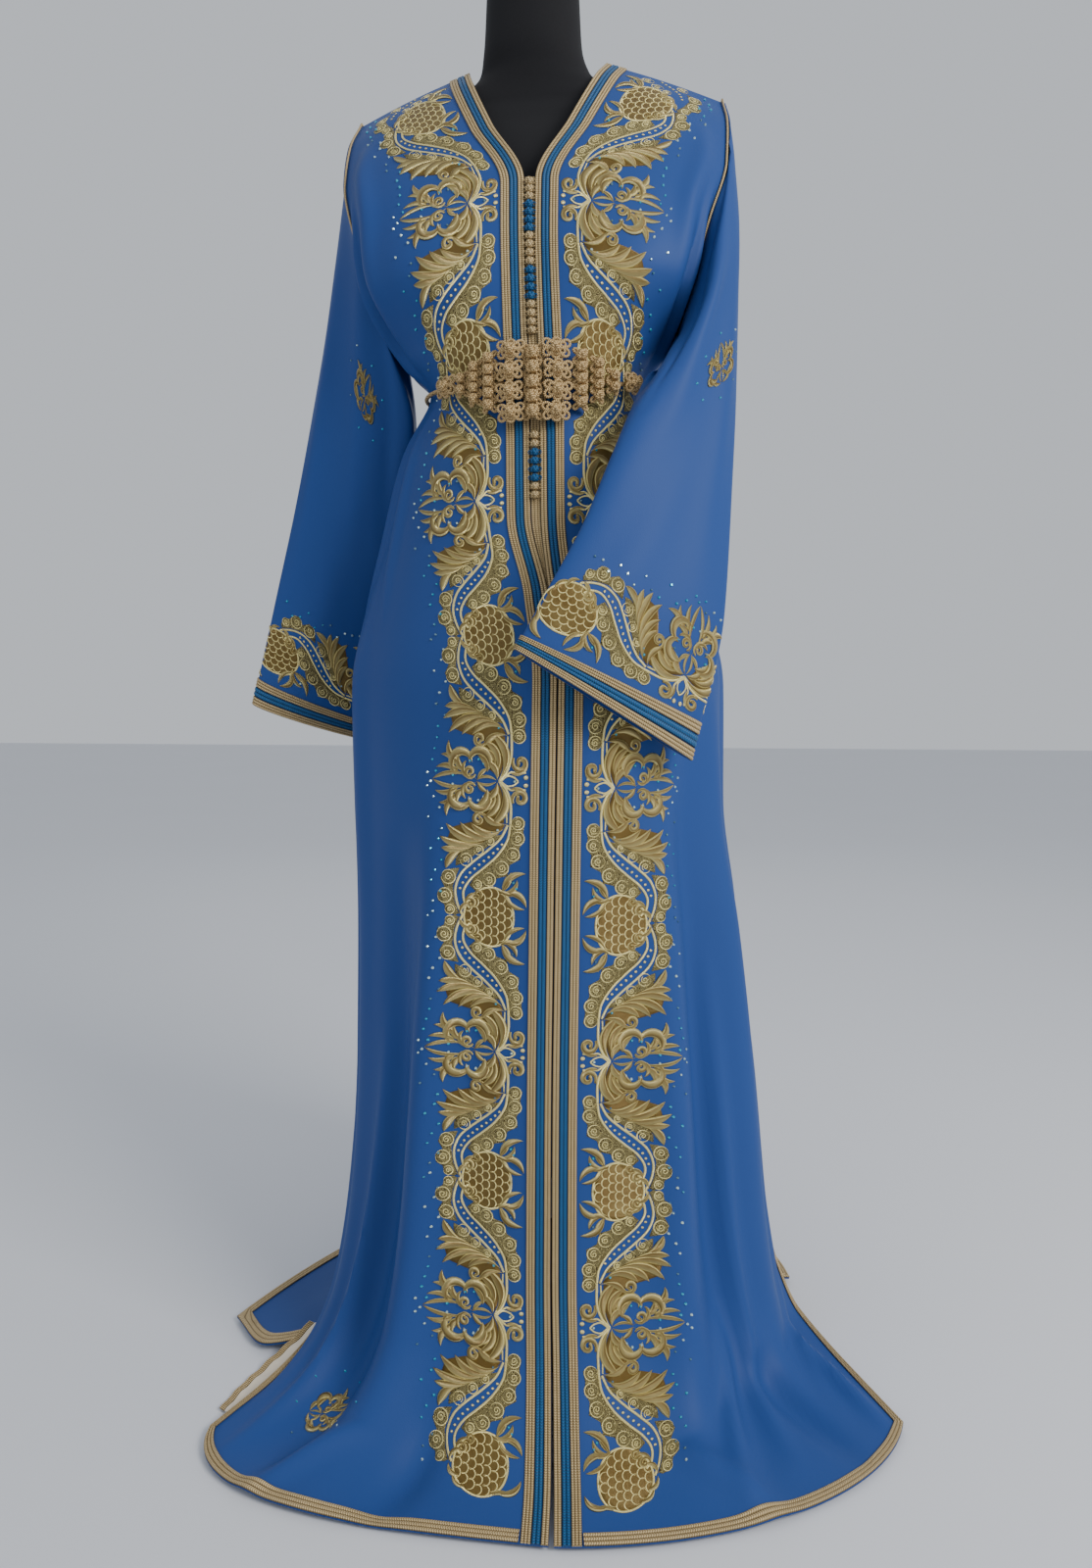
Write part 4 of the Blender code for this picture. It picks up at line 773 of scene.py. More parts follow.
def braid(name, pale, deep, period, slant, metal):
    """Flat braid: ribs of stitches that lean one way and the other, painted lit on their crests, with
    painted shade between the stitches and in the grooves between the ribs.
    """
    paint = Paint(name, Metallic=metal, Specular_IOR_Level=0.45)
    _, along, over = paint.pattern()
    rib = (over.part() - 0.5).absolute() * 2.0
    stitch = (along + rib * slant).wave(period)
    groove = rib.rise(0.62, 0.98)
    tone = paint.noise(140.0, 2.0)
    # painted light: pale on each stitch's crest (painted highlight), deep in the hollows between stitches
    # (painted shade), with some random tone
    colour = paint.blend(stitch * 0.65 + tone * 0.2, deep, pale)
    # painted shade in the grooves between the ribs
    colour = paint.blend(groove * 0.7, colour, tuple(0.35 * c for c in deep))
    return paint.set(Base_Color=colour, Normal=paint.bump(stitch - groove * 0.6, 0.8, 0.0006),
                     Roughness=groove * 0.15 + 0.46)


def twisted_cord(name, pale, deep, period, metal):
    """Cord of plied strands, painted lit on the crown of each ply and in shade between the plies."""
    paint = Paint(name, Metallic=metal, Specular_IOR_Level=0.45)
    _, along, over = paint.pattern()
    ply = (along + over * period).wave(period)
    # painted light: pale on each ply's crown (painted highlight), deep between the plies (painted shade)
    colour = paint.blend(ply, deep, pale)
    return paint.set(Base_Color=colour, Normal=paint.bump(ply, 0.9, 0.0005), Roughness=ply * -0.1 + 0.55)


def crystal(name):
    """Cut glass in several tints, foiled behind."""
    paint = Paint(name, Roughness=0.06, Metallic=0.45, Specular_IOR_Level=0.9, Coat_Weight=0.6)
    _, tint, _ = paint.pattern()
    ramp = paint.blend(tint.rise(0.30, 0.45), (0.02, 0.42, 0.62), (0.10, 0.22, 0.30))
    ramp = paint.blend(tint.rise(0.72, 0.80), ramp, (0.55, 0.75, 0.72))
    return paint.set(Base_Color=ramp)


def satin_lining(name, rgb):
    paint = Paint(name, Roughness=0.34, Sheen_Weight=0.2)
    mild = paint.noise(14.0, 2.0)
    return paint.set(Base_Color=paint.blend(mild, tuple(0.85 * c for c in rgb), rgb),
                     Normal=paint.bump(mild, 0.2, 0.002))


def jersey(name, rgb):
    """Knitted cover: dull, with fine wales."""
    paint = Paint(name, Roughness=0.85, Sheen_Weight=0.06, Specular_IOR_Level=0.2)
    wales = paint.noise(700.0, 1.0)
    return paint.set(Base_Color=paint.blend(wales, tuple(0.7 * c for c in rgb), rgb),
                     Normal=paint.bump(wales, 0.15, 0.0004))


def painted_steel(name, rgb):
    paint = Paint(name, Metallic=0.6, Specular_IOR_Level=0.5)
    wear = paint.noise(35.0, 3.0)
    return paint.set(Base_Color=paint.blend(wear, rgb, tuple(1.5 * c for c in rgb)),
                     Roughness=wear * 0.15 + 0.28)


def plain_floor(name, rgb):
    paint = Paint(name, Roughness=0.7, Specular_IOR_Level=0.2)
    mild = paint.noise(1.2, 2.0)
    return paint.set(Base_Color=paint.blend(mild, tuple(0.97 * c for c in rgb), rgb))


# ------------------------------------------------------------------ laying work on the cloth
# A stitch's section: across and up, as shares of half its width and of its height
CROWN = np.array([(-1.0, 0.0), (-0.62, 0.78), (0.0, 1.0), (0.62, 0.78), (1.0, 0.0)])


def sew(piece, stitches, place):
    """Lays stitches on the cloth: place finds the points for arrays of across, along and lift, in mm."""
    batches = []
    for stitch in stitches:
        way = np.gradient(stitch.line, axis=0)
        side = unit(np.stack([-way[:, 1], way[:, 0]], -1))
        flat = stitch.line[:, None] + side[:, None] * (stitch.widths[:, None] / 2 * CROWN[:, 0])[..., None]
        height = THREAD_BASE + THREAD_RISE * stitch.widths
        lift = THREAD_REST + height[:, None] * CROWN[:, 1] * (0.85 if stitch.pale else 1.0)
        # over runs across a satin stitch from its painted shaded flank (0) to its painted lit flank with a
        # painted highlight on its rim (1); outline thread takes 0.99, pale all over
        over = np.broadcast_to(0.99 if stitch.pale else 0.5 + 0.5 * CROWN[:, 0], lift.shape)
        far = np.broadcast_to(lengths(stitch.line)[:, None], lift.shape)
        batches.append((flat, lift, np.stack([far, over], -1)))
    flat = np.vstack([b[0].reshape(-1, 2) for b in batches])
    lift = np.concatenate([b[1].ravel() for b in batches])
    spots = place(flat[:, 0], flat[:, 1], lift)
    start = 0
    for _, lifts, uv in batches:
        rings = spots[start:start + lifts.size].reshape(lifts.shape + (3,))
        piece.loft(rings, uv)
        start += lifts.size


def patch(piece, outline, place, lift, slot, over=None, grain=5.0):
    """A flat patch of work inside an outline, as a thin closed layer; grain: its mesh, in millimetres."""
    outline = np.asarray(outline, float)
    low, high = outline.min(0), outline.max(0)
    grid = [(x, y) for x in np.arange(low[0] + grain / 2, high[0], grain)
            for y in np.arange(low[1] + grain / 2, high[1], grain)]
    inner = [p for p in grid if inside(p, outline, grain * 0.35)]
    corners = [Vector(p) for p in np.vstack([outline] + ([np.array(inner)] if inner else []))]
    edges = [(i, (i + 1) % len(outline)) for i in range(len(outline))]
    verts, _, tris, *_ = delaunay_2d_cdt(corners, edges, [list(range(len(outline)))], 1, 1e-4)
    flat = np.array([tuple(v) for v in verts])
    tris = np.array([t for t in tris if len(t) == 3])
    used = {}
    for t in tris:
        for a, b in ((t[0], t[1]), (t[1], t[2]), (t[2], t[0])):
            used[(a, b)] = used.get((a, b), 0) + 1
    rim = np.array([e for e in used if (e[1], e[0]) not in used])
    count = len(flat)
    top = place(flat[:, 0], flat[:, 1], np.full(count, lift))
    low = place(flat[:, 0], flat[:, 1], np.full(count, 0.02))
    sides = np.stack([rim[:, 1], rim[:, 0], rim[:, 0] + count, rim[:, 1] + count], -1)
    uv = flat if over is None else np.stack([flat[:, 1], np.full(count, over)], -1)
    piece.add(np.vstack([top, low]), [tris, tris[:, ::-1] + count, sides], np.vstack([uv, uv]), slot)


def inside(point, outline, margin):
    """Whether a point is inside an outline, and not nearer than the margin to its edge."""
    x, y = point
    a, b = outline, np.roll(outline, -1, 0)
    run = b - a
    climb = np.where(run[:, 1] == 0, 1e-9, run[:, 1])
    crosses = ((a[:, 1] > y) != (b[:, 1] > y)) & (x < run[:, 0] * (y - a[:, 1]) / climb + a[:, 0])
    share = np.clip(((np.array(point) - a) * run).sum(1) / np.maximum((run ** 2).sum(1), 1e-9), 0, 1)
    near = np.linalg.norm(a + run * share[:, None] - point, axis=1).min()
    return crosses.sum() % 2 == 1 and near > margin


def ribbed(piece, place, ends, count, ribs, height, rest, closed=False):
    """A flat braid: place gives its points for how far across (0 to 1), how far along and a lift."""
    fine = 4
    share = np.linspace(0, 1, ribs * fine + 1)
    swell = np.abs(np.sin(np.pi * share * ribs)) ** 0.6
    lift = rest + height * (0.42 + 0.58 * swell)
    lift[[0, -1]] = rest + height * 0.30
    share = np.r_[share[0], share, share[-1]]
    lift = np.r_[rest, lift, rest]
    along = np.linspace(*ends, count + 1)
    if closed:
        along = along[:-1]
    rings = place(*np.broadcast_arrays(share[None, :], along[:, None], lift[None, :]))
    far = lengths(rings[:, len(share) // 2]) / MM
    uv = np.stack(np.broadcast_arrays(far[:, None], share[None, :] * ribs * 0.9999), -1)
    piece.loft(rings, uv, closed)


def nearest(surface, target, s_range, t_range):
    """The surface's own place nearest to a point."""
    s, t = np.meshgrid(np.linspace(*s_range, 120), np.linspace(*t_range, 160))
    gap = np.linalg.norm(surface.place(s, t) - np.array(target), axis=-1)
    k = np.unravel_index(gap.argmin(), gap.shape)
    return s[k], t[k]


class Spot:
    """A small flat drawing's place on a surface, turned and scaled there."""

    def __init__(self, surface, s, t, angle, scale, middle):
        self.surface, self.s, self.t, self.scale, self.middle = surface, s, t, scale, middle
        here = surface.place(s, t)
        self.rate_s = np.linalg.norm(surface.place(s + 0.01, t) - here) / 0.01 / MM
        self.rate_t = np.linalg.norm(surface.place(s, t + 0.01) - here) / 0.01 / MM
        self.turn = math.radians(angle)

    def place(self, u, v, lift):
        x, y = (u - self.middle) * self.scale, v * self.scale
        c, d = math.cos(self.turn), math.sin(self.turn)
        s = self.s + (c * x - d * y) / self.rate_s
        t = self.t + (d * x + c * y) / self.rate_t
        return self.surface.place(s, t, lift * MM)


# ------------------------------------------------------------------ the pieces
PANELS = {name: Panel(name) for name in ("front_left", "front_right", "back")}
TUBES = {side: Tube(side) for side in ("left", "right")}
SIDES = ("left", "right")

# What each piece of cloth is cut to, flat, in metres and square metres; what it hangs on; and what is
# sewn to it
Cut = namedtuple("Cut", "width length area hangs_on sewn")
FRONT_BRAIDS = ("braid_gold_inner_{0}_work braid_blue_{0}_work braid_gold_outer_{0}_work "
                "hem_braid_{0}_work ")
CUFF_WORK = ("cuff_gold_edge_{0}_work cuff_blue_{0}_work cuff_gold_top_{0}_work piping_{0}_work "
             "embroidery_cuff_{0} stones_cuff_{0} ")
CUTS = {
    "front_left": Cut(0.45, 1.69, 0.51, "form_body", FRONT_BRAIDS.format("left")
                      + "placket_facing embroidery_front_left stones_front_left"),
    "front_right": Cut(0.45, 1.69, 0.53, "form_body", FRONT_BRAIDS.format("right")
                       + "embroidery_front_right stones_front_right embroidery_flower_3 stones_flower_3"),
    "back": Cut(1.03, 1.66, 1.03, "form_body",
                "hem_braid_back_work neck_braid_gold_inner_work neck_braid_blue_work "
                "neck_braid_gold_outer_work"),
    "sleeve_left": Cut(0.50, 0.76, 0.205, "cloth_front_left",
                       CUFF_WORK.format("left") + "embroidery_flower_1 stones_flower_1"),
    "sleeve_right": Cut(0.48, 0.71, 0.195, "cloth_front_right",
                        CUFF_WORK.format("right") + "embroidery_flower_2 stones_flower_2"),
}

# The three braids of the front and the neck, from the edge outwards
Strip = namedtuple("Strip", "label width ribs")
STRIPS = (Strip("gold_inner", GOLD_INNER, 2), Strip("blue", BLUE, 2), Strip("gold_outer", GOLD_OUTER, 3))


def cuff_edges(side):
    """Places along a sleeve where its cuff braids start, from the edge of the cuff upwards."""
    length = np.linalg.norm(TUBES[side].place(0.25, 7.0) - TUBES[side].place(0.25, 6.0))
    return [CUFF - (CUFF_BAND + SEAM) * k / length for k in range(4)]


def panel_cloth(name, paint, rows):
    """A front or the back, as a wall of cloth."""
    panel, cols = PANELS[name], PANEL_COLS[name]
    s, t = np.meshgrid(np.linspace(panel.low, 1, cols), np.linspace(0, HEM, rows))
    outer, inner = panel.place(s, t), panel.place(s, t, -WALL)
    wide = np.cumsum(np.linalg.norm(np.diff(outer, axis=1), axis=-1), axis=1)
    wide = np.hstack([np.zeros((rows, 1)), wide])
    down = np.cumsum(np.linalg.norm(np.diff(outer, axis=0), axis=-1), axis=0)
    down = np.vstack([np.zeros((1, cols)), down])
    piece = Piece()
    piece.net(outer, inner, np.stack([wide, down], -1) / MM)
    return piece.make("cloth_" + name, [paint], 50)


def sleeve_cloth(side, paint):
    """A sleeve, as a tube of cloth."""
    turn, t = np.meshgrid(np.linspace(0, 1, SLEEVE_COLS, endpoint=False), np.linspace(0, CUFF, SLEEVE_ROWS))
    outer, inner = TUBES[side].place(turn, t), TUBES[side].place(turn, t, -WALL)
    piece = Piece()
    piece.net(outer, inner, np.stack([turn * 420, t * 90], -1), wrap=True)
    return piece.make("cloth_sleeve_" + side, [paint], 50)


def placket_braids(side, gold, blue):
    """The three braids down one front edge, from the shoulder seam to the hem."""
    panel = PANELS["front_" + side]
    made, start = [], 0.0
    for label, width, ribs in STRIPS:
        def place(share, along, lift, start=start, width=width):
            near = panel.share_at(along.ravel(), start).reshape(along.shape)
            far = panel.share_at(along.ravel(), start + width).reshape(along.shape)
            return panel.place(near + (far - near) * share, along, lift)
        piece = Piece()
        ribbed(piece, place, (0.0, HEM), 420, ribs, BRAID, LIFT * 0.5)
        made.append(work(piece, "braid_%s_%s" % (label, side), blue if label == "blue" else gold, 60))
        start += width + SEAM
    return made


def placket_facing(gold):
    """The gold strip under the buttons, which joins the fronts down to where they meet."""
    left, right = PANELS["front_left"], PANELS["front_right"]

    def place(share, along, lift):
        t = along.ravel()
        near, far = (panel.bare(np.zeros(len(t)), t) for panel in (right, left))
        spot = near + (far - near) * share.reshape(-1, 1)
        spot[:, 1] -= lift.ravel() - FACING_DEPTH
        return spot.reshape(share.shape + (3,))
    piece = Piece()
    ribbed(piece, place, FACING, 200, 3, BRAID, 0.0)
    return piece.make("placket_facing", [gold])


def hem_inset(panel, s):
    """How far up its sections the hem braid reaches, so that its width stays the same all along the hem."""
    s = np.atleast_1d(s)
    edge, above = panel.bare(s, np.full(len(s), HEM)), panel.bare(s, np.full(len(s), HEM - 0.1))
    return HEM - 0.1 * HEM_BRAID / np.linalg.norm(edge - above, axis=-1)


def hem_route(name):
    """Pairs of places (edge, inside) along a panel's hem and up its slits, close together."""
    panel = PANELS[name]
    corner_t = hem_inset(panel, 1.0)[0]
    down = np.linspace(SLIT_TOP + 0.05, corner_t, 150)
    inset = panel.share_at(down, -HEM_BRAID)
    slit = np.stack([np.ones(150), down, inset, down], -1)
    corner = np.array([[1.0, HEM, inset[-1], corner_t]])
    turned = np.array([-1, 1, -1, 1])
    start = -inset[-1] if name == "back" else panel.share_at(np.array([HEM]), PLACKET + 0.002)[0]
    hem_s = np.linspace(start, inset[-1], 200)
    hem = np.stack([hem_s, np.full(200, HEM), hem_s, hem_inset(panel, hem_s)], -1)
    if name == "back":
        return np.vstack([slit * turned, corner * turned, hem, corner, slit[::-1]])
    return np.vstack([hem, corner, slit[::-1]])


def hem_braid(name, gold):
    """The ribbed braid along a panel's hem and up its slits."""
    panel, route = PANELS[name], hem_route(name)
    last = len(route) - 1

    def place(share, along, lift):
        i = np.clip((along * last).astype(int), 0, last - 1)
        f = (along * last - i)[..., None]
        here = route[i] * (1 - f) + route[i + 1] * f
        return panel.place(here[..., 0] + (here[..., 2] - here[..., 0]) * share,
                           here[..., 1] + (here[..., 3] - here[..., 1]) * share, lift)
    piece = Piece()
    ribbed(piece, place, (0.0, 1.0), last, 3, BRAID, LIFT)
    label = "back" if name == "back" else name.split("_")[1]
    return work(piece, "hem_braid_" + label, gold, 60)


def cuff_braids(side, gold, blue):
    """The three braids round a cuff, from its edge upwards."""
    edges, made = cuff_edges(side), []
    for k, (label, paint) in enumerate((("gold_edge", gold), ("blue", blue), ("gold_top", gold))):
        low = edges[k]
        high = low - CUFF_BAND * (edges[0] - edges[1]) / (CUFF_BAND + SEAM)

        def place(share, along, lift, low=low, high=high):
            return TUBES[side].place(along, low + (high - low) * share, lift)
        piece = Piece()
        ribbed(piece, place, (0.0, 1.0), 150, 3 if paint is gold else 2, BRAID, LIFT * 0.5, True)
        made.append(work(piece, "cuff_%s_%s" % (label, side), paint, 60))
    return made


def neck_braids(back_cloth, gold, blue):
    """The same three braids, carried round the back of the neck on the cloth."""
    tree = BVHTree.FromPolygons([v.co for v in back_cloth.data.vertices],
                                [tuple(p.vertices) for p in back_cloth.data.polygons])
    made, start = [], 0.0
    for label, width, ribs in STRIPS:
        def place(share, along, lift, start=start, width=width):
            a = along.ravel()
            edge = neck_edge(a)
            away = unit(points(np.sin(a) * 0.7, np.maximum(np.cos(a), 0.0), -0.55))
            target = edge + away * (start + width * share.ravel())[:, None]
            out = []
            for spot, way, rise in zip(target, away, lift.ravel()):
                found, normal, _, _ = tree.find_nearest(Vector(spot))
                if normal.dot(Vector(way + np.array([0, 0, 1.2]))) < 0:
                    normal = -normal
                out.append(found + normal * rise)
            return np.array(out).reshape(along.shape + (3,))
        reach = math.radians(NECK_REACH)
        piece = Piece()
        ribbed(piece, place, (-reach, reach), 70, ribs, BRAID, 0.0026)
        made.append(work(piece, "neck_braid_" + label, blue if label == "blue" else gold, 60))
        start += width + SEAM
    return made


def armhole_piping(side, gold):
    """A fine gold cord over the armhole seam, from the front round the shoulder to the back."""
    share = np.linspace(-1, 1, 121)
    t = UNDERARM * PIPED * np.abs(share)
    front, back = PANELS["front_" + side], PANELS["back"]
    way = 1.0 if side == "left" else -1.0
    lift = 0.0021 + 0.0010 * np.exp(-(share / 0.04) ** 2)
    ahead = front.place(front.share_at(t, -0.0026), t, lift)
    behind = back.place(way * back.share_at(t, -0.0026), t, lift)
    piece = Piece()
    piece.loft(*cord_rings(np.where((share >= 0)[:, None], ahead, behind), 0.0013, 6))
    return work(piece, "piping_" + side, gold)


# ------------------------------------------------------------------ knots
def ball_line(radius, turns=3, bights=4, steps=60):
    """A cord's route round a knotted ball."""
    a = np.linspace(0, 2 * np.pi * turns, steps, endpoint=False)
    tilt = 1.12 * np.sin(a * bights / turns)
    over = radius * (1 + 0.10 * np.cos(2 * a * bights / turns))
    return points(over * np.cos(tilt) * np.cos(a), over * np.cos(tilt) * np.sin(a), over * np.sin(tilt))


def knotted_ball(piece, centre, axes, radius, steps=60):
    """A ball of knotted cord; axes are its side, up and outward ways."""
    line = ball_line(radius * 0.70, steps=steps)
    turned = line[:, :1] * axes[0] + line[:, 1:2] * axes[2] + line[:, 2:] * axes[1]
    piece.loft(*cord_rings(centre + turned, radius * 0.30, 5, closed=True), closed=True)
    a = np.linspace(-0.9, 0.9, 5) * math.pi / 2
    ring = np.stack([np.cos(a), np.sin(a)], -1) * radius * 0.72
    around = np.linspace(0, 2 * np.pi, 8, endpoint=False)
    way = np.cos(around)[None, :, None] * axes[0] + np.sin(around)[None, :, None] * axes[2]
    core = (ring[:, None, :1] * way + ring[:, None, 1:] * axes[1]) + centre
    piece.loft(core, np.zeros(core.shape[:2] + (2,)))


def front_line(z):
    """A point of the front's centre line at a height."""
    t = np.linspace(0, HEM, 1441)
    row = smooth(FRONT, t)
    k = np.abs(row.in_z - z).argmin()
    return np.array([row.mid_x[k], row.in_y[k], z])


def button_run(run, paint):
    """Knotted buttons one under another, each held by a loop on either side."""
    piece = Piece()
    axes = np.array([(1.0, 0, 0), (0, 0, 1.0), (0, -1.0, 0)])
    for k in range(run.count):
        centre = front_line(run.top - BUTTON_PITCH * k) + np.array([0.0, -0.0032, 0.0])
        knotted_ball(piece, centre, axes, BUTTON_RADIUS, steps=42)
        for way in (-1.0, 1.0):
            a = np.linspace(0, math.pi, 9)
            loop = centre + points(way * (0.0030 + 0.0042 * np.sin(a)), 0.0016 + 0 * a, 0.0022 * np.cos(a))
            piece.loft(*cord_rings(loop, 0.00075, 5))
    return work(piece, run.name, paint)


def plaque_place(over, up, lift):
    """A place on the belt plaque's curved face, with its side, up and outward ways."""
    row = FRONT[WAIST]
    centre = row.mid_x
    width = (row.left_x if over >= 0 else row.right_x) - centre
    share = min(abs(over / width), 0.95)
    bend = math.sqrt(1 - share ** 2)
    out = unit(np.array([-share / bend * row.in_y / width, -1.0, 0.0]))
    spot = np.array([centre + over, row.in_y * bend, WAIST_HEIGHT + 0.012 * share + up]) + out * lift
    side = unit(np.cross((0, 0, 1.0), out))
    return spot, np.array([side, np.cross(out, side), out])


def cord_loop(piece, centre, axes, turn, reach, width, rise=0.0):
    """One closed loop of belt cord that leans out of a knot; turn in radians from the knot's side way."""
    a = np.linspace(0, 2 * np.pi, 20, endpoint=False)
    open_out = 0.5 - 0.5 * np.cos(a)
    way = math.cos(turn) * axes[0] + math.sin(turn) * axes[1]
    aside = -math.sin(turn) * axes[0] + math.cos(turn) * axes[1]
    far = reach * (0.10 + 0.90 * open_out)
    wide = width * np.sin(a) * np.sqrt(open_out)
    high = rise + 0.0014 * np.cos(a)
    line = centre + far[:, None] * way + wide[:, None] * aside + high[:, None] * axes[2]
    piece.loft(*cord_rings(line, BELT_CORD, 6, closed=True), closed=True)


def flower_knot(knot, paint):
    """A knot of wide double loops to both sides and short ones above and below, round a knotted ball."""
    centre, axes = plaque_place(knot.across, knot.up, KNOT_LIFT)
    piece = Piece()
    lean = 0.07 * math.sin(900 * (knot.across + knot.up))
    for turn, share in ((24, 1.50), (156, 1.50), (-26, 1.42), (206, 1.42), (90, 0.95), (-90, 0.95)):
        for size, rise in ((1.0, 0.0), (0.66, 0.0009)):
            cord_loop(piece, centre, axes, math.radians(turn) + lean, knot.radius * share * size,
                      knot.radius * 0.47 * size, rise)
    knotted_ball(piece, centre + axes[2] * 0.0014, axes, knot.radius * 0.64, steps=54)
    knotted_ball(piece, centre - axes[2] * 0.0040, axes, knot.radius * 0.80, steps=42)
    return work(piece, knot.name, paint)


def ball_column(column, paint):
    """A column of knotted balls, one tied close above another, with small loops between them."""
    piece = Piece()
    for k in range(column.count):
        up = column.height * (0.5 - k / (column.count - 1)) * (1 - 1 / column.count)
        centre, axes = plaque_place(column.across, up, BEAD_LIFT)
        tall = 1.26 if column.name == "beads_middle" else 1.14
        stretched = axes * np.array([[1.12], [tall], [1.0]])
        knotted_ball(piece, centre, stretched, column.radius)
        for turn in (40, 140, 220, 320):
            cord_loop(piece, centre - axes[2] * 0.0035, axes, math.radians(turn), column.radius * 1.65,
                      column.radius * 0.42)
    return work(piece, column.name, paint)


def waist_line(angle):
    """The waist cord's middle line; angle in degrees, 0 at the front, to the wearer's left."""
    a = np.mod(angle + 180, 360) - 180
    share, lap = np.abs(a) / 90, 0.0036 + 0.0046 * np.sqrt(np.maximum(np.cos(np.radians(a)), 0.0))
    t = np.full(len(a), float(WAIST))
    back_s = np.sign(a) * (2 - share)
    spots = []
    for panel, s in (("front_left", share), ("front_right", share), ("back", back_s)):
        s = np.clip(s, PANELS[panel].low, 1.0)
        spots.append(PANELS[panel].bare(s, t) + PANELS[panel].outward(s, t) * lap[:, None])
    front = np.where((a >= 0)[:, None], spots[0], spots[1])
    return np.where((share <= 1)[:, None], front, spots[2])


def waist_cord(paint):
    """Two strands twisted together round the waist."""
    angle = np.linspace(0, 360, 720, endpoint=False)
    line = waist_line(angle)
    for _ in range(6):
        line = (np.roll(line, 1, 0) + 2 * line + np.roll(line, -1, 0)) / 4
    out = unit(line - line.mean(0)) * np.array([1, 1, 0])
    piece = Piece()
    for start in (0.0, math.pi):
        a = start + np.radians(angle) * 90
        round_line = np.cos(a)[:, None] * unit(out) + np.sin(a)[:, None] * np.array([0, 0, 1.0])
        strand = line + 0.00125 * round_line
        piece.loft(*cord_rings(strand, 0.0013, 5, closed=True), closed=True)
    return work(piece, "belt_cord", paint)


# ------------------------------------------------------------------ the drawing, in millimetres
# One piece of stitching: its line, its width at each point, and whether it is outline thread
Stitch = namedtuple("Stitch", "line widths pale")
SATIN, PALE = 0, 1


def smooth_line(points, steps=6):
    """A soft line through a few points."""
    p = np.array(points, float)
    ends = np.vstack([2 * p[0] - p[1], p, 2 * p[-1] - p[-2]])
    f = np.linspace(0, 1, steps, endpoint=False)[:, None]
    parts = []
    for a, b, c, d in zip(ends[:-3], ends[1:-2], ends[2:-1], ends[3:]):
        parts.append(0.5 * (2 * b + (c - a) * f + (2 * a - 5 * b + 4 * c - d) * f ** 2
                            + (3 * b - a - 3 * c + d) * f ** 3))
    return np.vstack(parts + [p[-1:]])


def tapered(count, width, fullest=0.4):
    """Widths of a petal: none at its two ends, most at its fullest place."""
    f = np.linspace(0, 1, count)
    power = math.log(0.5) / math.log(fullest)
    return np.maximum(width * np.sin(math.pi * f ** power) ** 0.8, 0.3)


def petal(root, tip, bend, width, fullest=0.4, steps=10):
    """A petal from root to tip, bowed sideways by bend."""
    root, tip = np.array(root, float), np.array(tip, float)
    f = np.linspace(0, 1, steps + 1)[:, None]
    run = tip - root
    side = np.array([-run[1], run[0]]) / np.linalg.norm(run)
    middle = (root + tip) / 2 + 2 * bend * side
    line = (1 - f) ** 2 * root + 2 * f * (1 - f) * middle + f ** 2 * tip
    return Stitch(line, tapered(steps + 1, width, fullest), SATIN)


def crescent(centre, radius, start, end, width, fullest=0.5, steps=12, pale=SATIN):
    """A crescent on a round line, from one angle to the other, in degrees from the outward way."""
    a = np.radians(np.linspace(start, end, steps + 1))
    line = np.array(centre) + radius * np.stack([np.cos(a), np.sin(a)], -1)
    return Stitch(line, tapered(steps + 1, width, fullest), pale)


def volute(centre, radius, start, turns, width, steps=18):
    """A scroll that winds in to a round bud; turns below zero wind the other way."""
    f = np.linspace(0, 1, steps + 1)
    a = math.radians(start) + 2 * math.pi * turns * f
    r = radius * (1 - 0.80 * f ** 0.9)
    line = np.array(centre) + np.stack([r * np.cos(a), r * np.sin(a)], -1)
    widths = width * (0.45 + 0.75 * np.sin(math.pi * np.minimum(f * 1.15, 1.0)) ** 0.7)
    widths[-3:] = width * np.array([0.9, 1.15, 0.7])
    return Stitch(line, widths, SATIN)


def thread(points, width):
    """A raised outline through a few points."""
    line = smooth_line(points)
    return Stitch(line, np.full(len(line), width), PALE)


def spiral(centre, radius, start, turns, width, steps):
    """A fine outline that winds in."""
    f = np.linspace(0, 1, steps + 1)
    a = math.radians(start) + 2 * math.pi * turns * f
    r = radius * (1 - 0.86 * f)
    line = np.array(centre) + np.stack([r * np.cos(a), r * np.sin(a)], -1)
    return Stitch(line, np.full(steps + 1, width), PALE)


def bud(centre, radius):
    """A round dot of satin."""
    line = np.array(centre) + radius * np.array([[-1, 0], [-0.6, 0], [0, 0], [0.6, 0], [1, 0]])
    return Stitch(line, 2 * radius * np.array([0.25, 0.85, 1.0, 0.85, 0.25]), PALE)


def mirrored(stitches):
    """The same stitching on the other side of the motif's axis, which runs across the band."""
    return [stitch._replace(line=stitch.line * np.array([1.0, -1.0])) for stitch in stitches]


def lotus_flower():
    """The flower alone: its outer tip points away from the front edge."""
    half = [
        petal((57, 1.0), (112, 0.5), 6.5, 5.0, 0.68, 12),
        petal((80, 9), (108, 12), 3.5, 6.5, 0.40),
        petal((79, 13), (102, 25), 4.0, 7.5, 0.40),
        petal((81, 20), (92, 39), -5.0, 8.5, 0.42),
        crescent((76, 16), 12.5, -60, 170, 10.6, 0.5, 14),
        crescent((55, 18), 12.0, -5, 215, 10.4, 0.5, 14),
        crescent((66, 12), 8.5, -100, 60, 5.6, 0.5, 10),
        petal((46, 9), (57, 25), 4.0, 8.0, 0.5),
        petal((72, 10), (80, 24), -4.0, 8.0, 0.5),
        volute((66, 8.5), 6.8, 200, 1.3, 4.2),
        petal((57, 1.2), (45, 12), -2.0, 5.0, 0.5),
        petal((35, 1.5), (47, 19), 4.0, 7.5, 0.55),
        petal((36, 0.8), (58, 0.8), 3.5, 3.4, 0.5),
    ]
    return half + mirrored(half)


